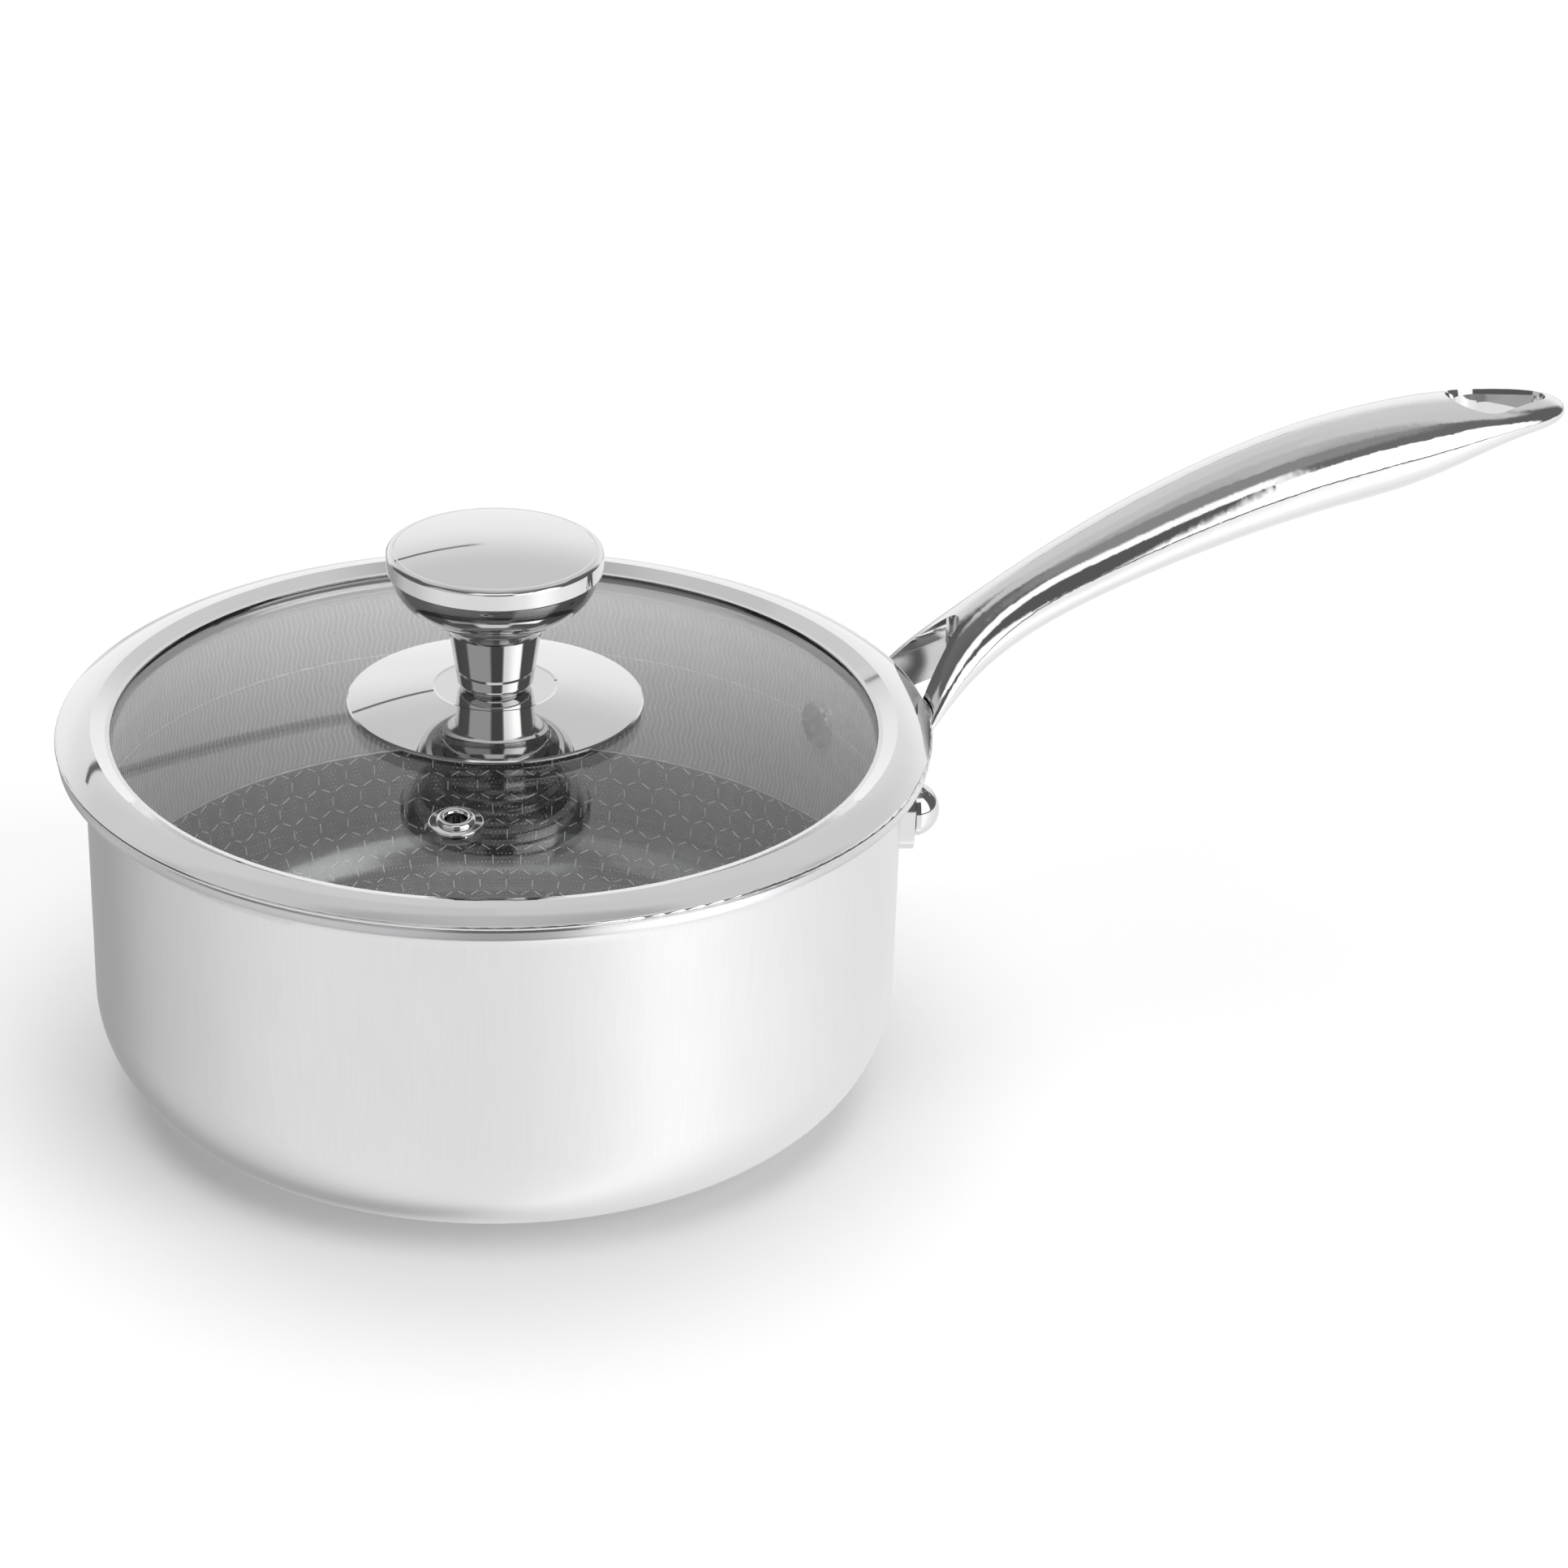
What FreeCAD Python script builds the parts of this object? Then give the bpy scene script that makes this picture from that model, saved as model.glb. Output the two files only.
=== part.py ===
import FreeCAD, Part
import math
import os

import Sketcher
from FreeCAD import Placement, Rotation, Vector

# Saucepan with a domed glass lid. +Z is up, the origin is the centre of the base, and the
# handle runs out along +X. All lengths are in millimetres and all angles in degrees.

doc = FreeCAD.newDocument("Saucepan")

# ---------------------------------------------------------------- driving dimensions

DIMENSIONS = [
    # pan body
    ("wall_radius", 100.0, "outside of the wall where the flare begins"),
    ("wall_lean", 0.7, "how much narrower the wall is at its foot"),
    ("wall_top", 85.6, "height at which the wall turns out into the flare"),
    ("corner_radius", 29.0, "outside radius between the base and the wall"),
    ("flare_radius", 5.0, "radius of the turn under the pouring lip"),
    ("flare_turn", 75.0, "how far the flare turns away from upright"),
    ("lip_run", 2.9, "straight run of the lip past the flare"),
    ("outer_ply", 0.5, "thickness of the outer steel"),
    ("core_ply", 1.3, "thickness of the aluminium core"),
    ("inner_ply", 0.5, "thickness of the cooking surface steel"),
    # handle flange and rivets
    ("flange_thick", 4.0, "handle flange, measured out from the wall"),
    ("flange_half_angle", 19.1, "half of the arc that the flange covers"),
    ("flange_drop", 6.6, "top edge of the flange below wall_top"),
    ("flange_depth", 20.8, "height of the flange"),
    ("flange_corner", 9.0, "rounding of the four flange corners"),
    ("rivet_angle", 14.2, "each rivet's angle away from the handle"),
    ("rivet_drop", 17.1, "rivet axis below wall_top"),
    ("rivet_shank", 3.0, "radius of the rivet shank"),
    ("rivet_gap", 0.1, "radial clearance round the shank"),
    ("rivet_dome", 6.75, "radius of the domed outer head"),
    ("rivet_dome_high", 6.6, "height of the domed outer head"),
    ("rivet_button", 6.0, "radius of the flat head inside the pan"),
    ("rivet_button_thick", 1.2, "thickness of the flat head inside the pan"),
    ("rivet_button_gap", 0.02, "clearance of the flat head at its tightest spot on the wall"),
    ("lip_clearance", 0.4, "air between the handle and the pan's lip"),
    ("lid_clearance", 0.5, "air between the handle and the lid as it lifts"),
    # handle fork and hanging hole
    ("gap_reach", 22.0, "end of the fork gap, out from the wall"),
    ("gap_nose", 4.0, "radius of the closed end of the fork gap"),
    ("gap_spread", 34.8, "how far each prong turns away from the handle's line"),
    ("eye_wide_reach", 165.8, "centre of the hanging hole's wide end, out from the wall"),
    ("eye_wide_radius", 8.2, "radius of the hanging hole's wide end"),
    ("eye_narrow_reach", 180.6, "centre of the hanging hole's narrow end, out from the wall"),
    ("eye_narrow_radius", 2.9, "radius of the hanging hole's narrow end"),
    ("eye_lead", 1.8, "widening of the hanging hole at its mouth"),
    ("eye_mouth", 65.0, "height of the hanging hole's mouth over wall_top"),
    ("eye_throat", 60.5, "height over wall_top where the mouth meets the hole"),
    # lid glass
    ("dome_radius", 606.0, "radius of the glass's top surface"),
    ("glass_thick", 4.0, "thickness of the glass"),
    ("glass_edge_gap", 0.4, "clearance round the edge of the glass"),
    ("glass_rest", 0.23, "air between the edge of the glass and the band's hook"),
    ("glass_bore", 4.6, "radius of the hole for the knob screw"),
    # lid rim band
    ("band_sheet", 0.5, "thickness of the rim band's sheet"),
    ("skirt_gap", 0.5, "clearance between the lid's skirt and the flare"),
    ("skirt_drop", 4.3, "depth of the skirt below the lid's flange"),
    ("seat_gap", 0.5, "height of the lid's flange over the lip at rest"),
    ("band_reach", 7.1, "outer edge of the rim band past the wall"),
    ("band_edge_high", 1.1, "height of the rolled outer edge"),
    ("band_crest_inset", 1.6, "crest line of the band, in from the wall radius"),
    ("band_crest_high", 3.4, "crest line above the lid's flange"),
    ("band_mouth_inset", 6.2, "inner edge of the band, in from the wall radius"),
    ("glass_slack", 0.1, "clearance between the glass and the band"),
    ("band_bulge", 0.5, "how much the top of the band bulges"),
    ("band_closed", 1.9, "solid hem at the band's outer edge"),
    ("hook_reach", 3.0, "how far the band's hook reaches in under the glass"),
    # vent
    ("vent_reach", 62.7, "centre of the vent from the middle of the lid"),
    ("vent_azimuth", -116.5, "direction of the vent, counted from the handle"),
    ("vent_hole", 2.5, "radius of the steam hole"),
    ("vent_barrel", 3.3, "outside radius of the eyelet's barrel"),
    ("vent_flange", 6.5, "radius of the eyelet's flange"),
    ("vent_crown", 4.6, "radius of the eyelet's raised crown"),
    ("vent_rise", 2.0, "height of the crown over the glass"),
    ("vent_bore", 3.9, "radius of the hole in the glass"),
    # cover disc and knob
    ("disc_radius", 36.2, "radius of the cover disc"),
    ("disc_sheet", 1.0, "thickness of the cover disc"),
    ("disc_dome", 162.0, "radius of the cover disc's dome"),
    ("disc_high", 4.25, "top of the dome over the middle of the glass"),
    ("seat_radius", 14.6, "pressed seat round the knob"),
    ("seat_deep", 0.12, "depth of the pressed seat"),
    ("pad_radius", 13.5, "silicone pad between the glass and the disc"),
    ("neck_foot", 7.9, "radius of the neck where it stands on its seat"),
    ("neck_waist", 9.4, "radius of the neck above its rounded foot"),
    ("neck_top", 11.4, "radius of the neck where it begins to flare"),
    ("neck_high", 15.4, "height over the seat at which the neck begins to flare"),
    ("knob_seam", 20.6, "height over the seat of the seam between the neck and the bowl"),
    ("knob_step", 16.5, "radius of the step ring at that seam"),
    ("knob_radius", 26.3, "greatest radius of the knob"),
    ("knob_rise", 31.2, "foot of the knob's side band over the seat"),
    ("knob_side", 4.2, "height of the knob's side band"),
    ("knob_crown", 38.6, "top of the knob over the seat"),
    ("knob_shell", 1.2, "thickness of the knob's shells"),
    # screw stack under the lid
    ("insert_radius", 4.5, "radius of the threaded insert"),
    ("insert_long", 13.0, "length of the threaded insert"),
    ("screw_radius", 2.5, "radius of the knob screw"),
    ("thread_gap", 0.05, "radial clearance of the screw in its insert"),
    ("screw_gap", 0.6, "radial clearance of the screw in the disc and washers"),
    ("gasket_thick", 1.6, "silicone washer under the glass"),
    ("gasket_radius", 9.5, "radius of the washers under the glass"),
    ("washer_thick", 1.0, "steel washer under the gasket"),
    ("lock_thick", 1.1, "lock washer"),
    ("lock_radius", 4.5, "radius of the lock washer"),
    ("head_radius", 4.8, "radius of the screw head"),
    ("head_high", 3.2, "height of the screw head"),
]

# Stations of the handle from the flange to the tip. Each is a name with its reach out from
# the wall, its height over wall_top, its tilt, and its half width and half depth.
STATIONS = [
    ("root", 3.0, -17.0, 86.0, 15.5, 1.4),
    ("knuckle", 6.0, -3.6, 70.0, 17.2, 4.1),
    ("fork", 11.2, 3.6, 48.0, 16.9, 5.0),
    ("crotch", 18.6, 10.4, 39.0, 13.9, 6.3),
    ("waist", 30.7, 18.7, 31.0, 10.8, 7.2),
    ("climb", 58.4, 32.2, 23.0, 11.8, 8.2),
    ("palm", 88.9, 42.8, 16.5, 13.7, 9.7),
    ("heel", 121.2, 50.4, 10.0, 15.0, 10.7),
    ("swell", 140.2, 53.2, 8.5, 15.0, 10.4),
    ("eye", 157.6, 56.0, 7.0, 14.0, 8.1),
    ("thin", 173.3, 57.6, 3.0, 11.3, 5.2),
    ("toe", 184.0, 57.7, 1.0, 7.6, 3.7),
    ("tip", 189.0, 57.5, 0.5, 2.6, 1.7),
]

for station, reach, rise, tilt, wide, deep in STATIONS:
    DIMENSIONS.append((station + "_reach", reach, "handle " + station + ", out from the wall"))
    DIMENSIONS.append((station + "_rise", rise, "handle " + station + ", over wall_top"))
    DIMENSIONS.append((station + "_tilt", tilt, "handle " + station + ", slope of the handle"))
    DIMENSIONS.append((station + "_wide", wide, "handle " + station + ", half width"))
    DIMENSIONS.append((station + "_deep", deep, "handle " + station + ", half depth"))

sheet = doc.addObject("Spreadsheet::Sheet", "Sizes")
for row, (alias, number, meaning) in enumerate(DIMENSIONS, start=1):
    sheet.set("A%d" % row, meaning)
    sheet.set("B%d" % row, str(number))
    sheet.setAlias("B%d" % row, alias)
doc.recompute()


class Size:
    """A dimension that carries both its number and the sheet formula behind it."""

    def __init__(self, value, formula):
        self.value = float(value)
        self.formula = formula

    def __add__(self, other):
        other = as_size(other)
        return Size(self.value + other.value, "(%s + %s)" % (self.formula, other.formula))

    def __sub__(self, other):
        other = as_size(other)
        return Size(self.value - other.value, "(%s - %s)" % (self.formula, other.formula))

    def __mul__(self, other):
        other = as_size(other)
        return Size(self.value * other.value, "(%s * %s)" % (self.formula, other.formula))

    def __truediv__(self, other):
        other = as_size(other)
        return Size(self.value / other.value, "(%s / %s)" % (self.formula, other.formula))

    def __neg__(self):
        return Size(-self.value, "(0 - %s)" % self.formula)


def as_size(number):
    """A plain number as a Size, and a Size as itself."""
    if isinstance(number, Size):
        return number
    return Size(number, "%.6g" % number if number >= 0 else "(0 - %.6g)" % -number)


def cosine(angle):
    """Cosine of an angle in degrees."""
    return Size(math.cos(math.radians(angle.value)), "cos(%s * 1 deg)" % angle.formula)


def sine(angle):
    """Sine of an angle in degrees."""
    return Size(math.sin(math.radians(angle.value)), "sin(%s * 1 deg)" % angle.formula)


def root(square):
    """Square root of a Size."""
    return Size(math.sqrt(square.value), "sqrt(%s)" % square.formula)


class Dimensions:
    """Every dimension of the sheet by name."""


size = Dimensions()
for alias, number, meaning in DIMENSIONS:
    setattr(size, alias, Size(number, "Sizes." + alias))

ZERO = as_size(0.0)


# ---------------------------------------------------------------- modelling helpers

def new_body(label):
    """An empty body whose label is its file name."""
    body = doc.addObject("PartDesign::Body", "Body_" + label)
    body.Label = label
    return body


def origin_plane(body, role):
    """One of the body's own origin planes, such as XZ_Plane."""
    return next(item for item in body.Origin.OriginFeatures if item.Role == role)


def new_sketch(body, name, role):
    """An empty sketch flat on one of the body's origin planes."""
    sketch = body.newObject("Sketcher::SketchObject", name)
    sketch.AttachmentSupport = (origin_plane(body, role), "")
    sketch.MapMode = "FlatFace"
    sketch.Visibility = False
    return sketch


def hold(sketch, kind, where, target):
    """One dimensional constraint, bound to the sheet when its size comes from there."""
    index = sketch.addConstraint(Sketcher.Constraint(kind, *where, target.value))
    if "Sizes." in target.formula:
        sketch.setExpression("Constraints[%d]" % index, target.formula)


def pin_point(sketch, edge, end, x, y):
    """Fix the end of an edge at x, y from the sketch's origin."""
    if x.value == 0.0:
        sketch.addConstraint(Sketcher.Constraint("PointOnObject", edge, end, -2))
    else:
        hold(sketch, "DistanceX", (-1, 1, edge, end), x)
    if y.value == 0.0:
        sketch.addConstraint(Sketcher.Constraint("PointOnObject", edge, end, -1))
    else:
        hold(sketch, "DistanceY", (-1, 1, edge, end), y)


def outline(body, name, role, corners):
    """A closed outline. A corner is (x, y), or (x, y, centre_x, centre_y) where the edge
    that leads to it is an arc about that centre, always the shorter way round."""
    sketch = new_sketch(body, name, role)
    corners = [tuple(as_size(number) for number in corner) for corner in corners]
    joins = []
    for before, corner in zip([corners[-1]] + corners[:-1], corners):
        start = Vector(before[0].value, before[1].value, 0)
        finish = Vector(corner[0].value, corner[1].value, 0)
        if len(corner) == 2:
            edge = sketch.addGeometry(Part.LineSegment(start, finish), False)
            joins.append((edge, 1, 2))
            continue
        centre = Vector(corner[2].value, corner[3].value, 0)
        begin = math.atan2(start.y - centre.y, start.x - centre.x)
        close = math.atan2(finish.y - centre.y, finish.x - centre.x)
        circle = Part.Circle(centre, Vector(0, 0, 1), start.distanceToPoint(centre))
        if (close - begin) % (2 * math.pi) < math.pi:
            edge = sketch.addGeometry(Part.ArcOfCircle(circle, begin, close), False)
            joins.append((edge, 1, 2))
        else:
            edge = sketch.addGeometry(Part.ArcOfCircle(circle, close, begin), False)
            joins.append((edge, 2, 1))
    for (edge, first, last), (following, entry, leaving) in zip(joins, joins[1:] + joins[:1]):
        sketch.addConstraint(Sketcher.Constraint("Coincident", edge, last, following, entry))
    for (edge, first, last), corner in zip(joins, corners):
        pin_point(sketch, edge, last, corner[0], corner[1])
    for (edge, first, last), before, corner in zip(joins, [corners[-1]] + corners[:-1], corners):
        if len(corner) == 4:
            flat = abs(before[0].value - corner[0].value) > abs(before[1].value - corner[1].value)
            kind = "DistanceY" if flat else "DistanceX"
            target = corner[3] if flat else corner[2]
            if target.value == 0.0:
                sketch.addConstraint(Sketcher.Constraint("PointOnObject", edge, 3, -1 if flat else -2))
            else:
                hold(sketch, kind, (-1, 1, edge, 3), target)
    return sketch


def circles(body, name, role, spots):
    """A sketch of circles, each given as (x, y, radius)."""
    sketch = new_sketch(body, name, role)
    for x, y, radius in spots:
        x, y, radius = as_size(x), as_size(y), as_size(radius)
        ring = Part.Circle(Vector(x.value, y.value, 0), Vector(0, 0, 1), radius.value)
        edge = sketch.addGeometry(ring, False)
        pin_point(sketch, edge, 3, x, y)
        hold(sketch, "Radius", (edge,), radius)
    return sketch


def turned(body, name, corners):
    """A solid of revolution about Z from an outline in the XZ plane."""
    sketch = outline(body, name + "_profile", "XZ_Plane", corners)
    feature = body.newObject("PartDesign::Revolution", name)
    feature.Profile = sketch
    feature.ReferenceAxis = (sketch, ["V_Axis"])
    feature.Angle = 360.0
    doc.recompute()
    return feature


def radial_holes(body, name, radius, reach, pattern=True):
    """A round hole through the wall at each rivet, cut outward from the pan's axis."""
    sketch = circles(body, name + "_circle", "YZ_Plane", [(0.0, size.wall_top - size.rivet_drop, radius)])
    sketch.AttachmentOffset = Placement(Vector(), Rotation(Vector(0, 1, 0), size.rivet_angle.value))
    sketch.setExpression("AttachmentOffset.Rotation.Angle", size.rivet_angle.formula)
    cut = body.newObject("PartDesign::Pocket", name)
    cut.Profile = sketch
    cut.Type = "Length"
    cut.Length = reach.value
    cut.setExpression("Length", reach.formula)
    cut.Reversed = True
    doc.recompute()
    mirror = body.newObject("PartDesign::Mirrored", name + "_pair")
    mirror.Originals = [cut]
    mirror.MirrorPlane = (origin_plane(body, "XZ_Plane"), [""])
    body.Tip = mirror
    doc.recompute()
    return mirror


# ---------------------------------------------------------------- pan body, three bonded plies

corner_centre = size.wall_radius - size.wall_lean - size.corner_radius
flare_centre = size.wall_radius + size.flare_radius
wall_thick = size.outer_ply + size.core_ply + size.inner_ply


def flare_end(depth):
    """End of the flare for a surface that lies this deep inside the outer face."""
    sweep = size.flare_radius + depth
    return (flare_centre - sweep * cosine(size.flare_turn), size.wall_top + sweep * sine(size.flare_turn))


def lip_end(depth):
    """Edge of the lip for a surface that lies this deep inside the outer face."""
    x, z = flare_end(depth)
    return (x + size.lip_run * sine(size.flare_turn), z + size.lip_run * cosine(size.flare_turn))


def ply(label, outside, inside):
    """One bonded layer between two depths below the pan's outer face."""
    body = new_body(label)
    foot = size.wall_radius - size.wall_lean
    turned(body, label + "_turned", [
        (ZERO, outside),
        (corner_centre, outside),
        (foot - outside, size.corner_radius, corner_centre, size.corner_radius),
        (size.wall_radius - outside, size.wall_top),
        flare_end(outside) + (flare_centre, size.wall_top),
        lip_end(outside),
        lip_end(inside),
        flare_end(inside),
        (size.wall_radius - inside, size.wall_top, flare_centre, size.wall_top),
        (foot - inside, size.corner_radius),
        (corner_centre, inside, corner_centre, size.corner_radius),
        (ZERO, inside),
    ])
    radial_holes(body, label + "_rivet_hole", size.rivet_shank + size.rivet_gap,
                 size.wall_radius + size.flange_thick)
    return body


pan_outer = ply("pan_outer_steel", ZERO, size.outer_ply)
pan_core = ply("pan_aluminium_core", size.outer_ply, size.outer_ply + size.core_ply)
pan_inner = ply("pan_cooking_surface", size.outer_ply + size.core_ply, wall_thick)


# ---------------------------------------------------------------- handle, one casting

def wall_at(height):
    """Outside radius of the leaning wall at a height."""
    fall = (size.wall_top - height) / (size.wall_top - size.corner_radius)
    return size.wall_radius - size.wall_lean * fall


def oval(body, station):
    """An elliptical cross-section of the handle, square to its run at one station."""
    reach, rise, tilt, wide, deep = [
        getattr(size, station + ending) for ending in ("_reach", "_rise", "_tilt", "_wide", "_deep")]
    sketch = new_sketch(body, "handle_" + station, "YZ_Plane")
    x = size.wall_radius + reach
    z = size.wall_top + rise
    sketch.AttachmentOffset = Placement(Vector(0, z.value, x.value), Rotation(Vector(-1, 0, 0), tilt.value))
    sketch.setExpression("AttachmentOffset.Base.z", x.formula)
    sketch.setExpression("AttachmentOffset.Base.y", z.formula)
    sketch.setExpression("AttachmentOffset.Rotation.Angle", tilt.formula)
    ring = sketch.addGeometry(Part.Ellipse(Vector(wide.value, 0, 0), Vector(0, deep.value, 0), Vector()), False)
    sketch.exposeInternalGeometry(ring)
    sketch.addConstraint(Sketcher.Constraint("Coincident", ring, 3, -1, 1))
    sketch.addConstraint(Sketcher.Constraint("Horizontal", ring + 1))
    hold(sketch, "Distance", (ring + 1,), wide * 2)
    hold(sketch, "Distance", (ring + 2,), deep * 2)
    return sketch


def teardrop(body, name, height, extra):
    """The hanging hole's outline at a height over wall_top, widened by extra."""
    wide_x = size.wall_radius + size.eye_wide_reach
    narrow_x = size.wall_radius + size.eye_narrow_reach
    wide_r = size.eye_wide_radius + extra
    narrow_r = size.eye_narrow_radius + extra
    lean = (wide_r - narrow_r) / (narrow_x - wide_x)
    square = root(as_size(1.0) - lean * lean)
    sketch = outline(body, name, "XY_Plane", [
        (wide_x + wide_r * lean, -(wide_r * square)),
        (narrow_x + narrow_r * lean, -(narrow_r * square)),
        (narrow_x + narrow_r * lean, narrow_r * square, narrow_x, ZERO),
        (wide_x + wide_r * lean, wide_r * square),
        (wide_x - wide_r, ZERO, wide_x, ZERO),
        (wide_x + wide_r * lean, -(wide_r * square), wide_x, ZERO),
    ][1:])
    z = size.wall_top + height
    sketch.AttachmentOffset = Placement(Vector(0, 0, z.value), Rotation())
    sketch.setExpression("AttachmentOffset.Base.z", z.formula)
    return sketch


handle = new_body("handle_casting")
sections = [oval(handle, station) for station, reach, rise, tilt, wide, deep in STATIONS]
doc.recompute()
grip = handle.newObject("PartDesign::AdditiveLoft", "handle_run")
grip.Profile = sections[0]
grip.Sections = sections[1:]
doc.recompute()

# The gap between the prongs stops at the flange's top edge, so that the root stays whole.
nose_x = size.wall_radius + size.gap_reach - size.gap_nose
touch_x = nose_x + size.gap_nose * sine(size.gap_spread)
touch_y = size.gap_nose * cosine(size.gap_spread)
mouth_x = size.wall_radius - 2.0
mouth_y = touch_y + (touch_x - mouth_x) * sine(size.gap_spread) / cosine(size.gap_spread)
gap_outline = outline(handle, "fork_gap_outline", "XY_Plane", [
    (mouth_x, -mouth_y),
    (touch_x, -touch_y),
    (touch_x, touch_y, nose_x, ZERO),
    (mouth_x, mouth_y),
])
gap_floor = size.wall_top - size.flange_drop
gap_outline.AttachmentOffset = Placement(Vector(0, 0, gap_floor.value), Rotation())
gap_outline.setExpression("AttachmentOffset.Base.z", gap_floor.formula)
fork_gap = handle.newObject("PartDesign::Pocket", "fork_gap")
fork_gap.Profile = gap_outline
fork_gap.Type = "ThroughAll"
fork_gap.Reversed = True
doc.recompute()

eye = handle.newObject("PartDesign::Pocket", "hanging_hole")
eye.Profile = teardrop(handle, "hanging_hole_outline", as_size(0.0), as_size(0.0))
eye.Type = "ThroughAll"
eye.Reversed = True
doc.recompute()
eye_mouth = handle.newObject("PartDesign::SubtractiveLoft", "hanging_hole_mouth")
eye_mouth.Profile = teardrop(handle, "hanging_hole_mouth_outline", size.eye_mouth, size.eye_lead)
eye_mouth.Sections = [teardrop(handle, "hanging_hole_throat_outline", size.eye_throat, as_size(0.0))]
eye_mouth.Ruled = True
doc.recompute()

# The casting is ground back to the wall, to clear the lip and to let the lid lift past it.
flange_high = size.wall_top - size.flange_drop
flange_low = flange_high - size.flange_depth
band_out = size.wall_radius + size.band_reach
trim_low = flange_low - 10
trim_in = size.wall_radius - 14
trim_out = band_out + size.lid_clearance
trim_high = size.wall_top + size.waist_rise
under_lip = -size.lip_clearance
trim_outline = outline(handle, "wall_trim_outline", "XZ_Plane", [
    (trim_in, trim_low),
    (wall_at(trim_low), trim_low),
    (size.wall_radius, size.wall_top),
    (size.wall_radius + size.lip_clearance, size.wall_top),
    flare_end(under_lip) + (flare_centre, size.wall_top),
    lip_end(under_lip),
    (trim_out, lip_end(under_lip)[1]),
    (trim_out, trim_high),
    (trim_in, trim_high),
])
wall_trim = handle.newObject("PartDesign::Groove", "wall_trim")
wall_trim.Profile = trim_outline
wall_trim.ReferenceAxis = (trim_outline, ["V_Axis"])
wall_trim.Angle = 360.0
doc.recompute()

flange_profile = outline(handle, "flange_profile", "XZ_Plane", [
    (wall_at(flange_low), flange_low),
    (wall_at(flange_low) + size.flange_thick, flange_low),
    (wall_at(flange_high) + size.flange_thick, flange_high),
    (wall_at(flange_high), flange_high),
])
flange = handle.newObject("PartDesign::Revolution", "flange")
flange.Profile = flange_profile
flange.ReferenceAxis = (flange_profile, ["V_Axis"])
flange.Midplane = True
flange.Angle = 2 * size.flange_half_angle.value
flange.setExpression("Angle", (size.flange_half_angle * 2).formula)
doc.recompute()


def is_flange_corner(edge):
    """True for the short radial edges at the flange's four corners."""
    first, last = [vertex.Point for vertex in edge.Vertexes[:1] + edge.Vertexes[-1:]]
    upright = abs(first.z - last.z)
    level = math.hypot(first.x - last.x, first.y - last.y)
    spread = math.degrees(math.atan2(abs(first.y), first.x))
    at_end = abs(spread - size.flange_half_angle.value) < 0.5
    return at_end and upright < 0.1 and abs(level - size.flange_thick.value) < 0.1


corner_names = [
    "Edge%d" % number for number, edge in enumerate(flange.Shape.Edges, start=1)
    if len(edge.Vertexes) == 2 and is_flange_corner(edge)]
flange_corners = handle.newObject("PartDesign::Fillet", "flange_corners")
flange_corners.Base = (flange, corner_names)
flange_corners.Radius = size.flange_corner.value
flange_corners.setExpression("Radius", size.flange_corner.formula)
doc.recompute()
radial_holes(handle, "flange_rivet_hole", size.rivet_shank + size.rivet_gap,
             size.wall_radius + size.flange_thick + 4.0)

# ---------------------------------------------------------------- rivets, a pair alike

rivets = new_body("handle_rivets")
rivets.AllowCompound = True
button_lean = size.wall_lean * (size.rivet_drop + size.rivet_button) / (size.wall_top - size.corner_radius)
button_wall = size.wall_radius - wall_thick - button_lean
button_flat = root(button_wall * button_wall - size.rivet_button * size.rivet_button)
button_back = button_flat - size.rivet_button_gap
button_front = button_back - size.rivet_button_thick
dome_foot = size.wall_radius + size.flange_thick
dome_side = as_size(1.2)
dome_span = (size.rivet_dome_high - dome_side) * 2
dome_middle = (size.rivet_dome_high * size.rivet_dome_high - dome_side * dome_side
               - size.rivet_dome * size.rivet_dome) / dome_span
rivet_profile = outline(rivets, "rivet_profile", "XZ_Plane", [
    (button_front, ZERO),
    (dome_foot + size.rivet_dome_high, ZERO),
    (dome_foot + dome_side, size.rivet_dome, dome_foot + dome_middle, ZERO),
    (dome_foot, size.rivet_dome),
    (dome_foot, size.rivet_shank),
    (button_back, size.rivet_shank),
    (button_back, size.rivet_button),
    (button_front + 0.4, size.rivet_button),
    (button_front, size.rivet_button - 0.6),
])
rivet_high = size.wall_top - size.rivet_drop
rivet_profile.AttachmentOffset = Placement(
    Vector(0, rivet_high.value, 0), Rotation(Vector(0, 1, 0), size.rivet_angle.value))
rivet_profile.setExpression("AttachmentOffset.Base.y", rivet_high.formula)
rivet_profile.setExpression("AttachmentOffset.Rotation.Angle", size.rivet_angle.formula)
rivet = rivets.newObject("PartDesign::Revolution", "rivet")
rivet.Profile = rivet_profile
rivet.ReferenceAxis = (rivet_profile, ["H_Axis"])
rivet.Angle = 360.0
doc.recompute()
rivet_pair = rivets.newObject("PartDesign::Mirrored", "rivet_pair")
rivet_pair.Originals = [rivet]
rivet_pair.MirrorPlane = (origin_plane(rivets, "XZ_Plane"), [""])
rivets.Tip = rivet_pair
doc.recompute()

# ---------------------------------------------------------------- lid glass

glass_under = size.dome_radius - size.glass_thick


def on_dome(centre, radius, reach):
    """Height of a dome about a centre on the axis, at a reach from the axis."""
    return centre + root(radius * radius - reach * reach)


lip_high = lip_end(wall_thick)[1]
seat_plane = lip_high + size.seat_gap
skirt_foot = seat_plane - size.skirt_drop
throat = size.flare_radius + wall_thick
throat_fall = skirt_foot - size.wall_top
skirt_out = flare_centre - root(throat * throat - throat_fall * throat_fall) - size.skirt_gap
skirt_in = skirt_out - size.band_sheet
glass_reach = skirt_in - size.glass_edge_gap
glass_edge = skirt_foot + size.band_sheet + size.glass_rest
glass_centre = glass_edge - root(glass_under * glass_under - glass_reach * glass_reach)
glass_top = glass_centre + size.dome_radius

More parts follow.
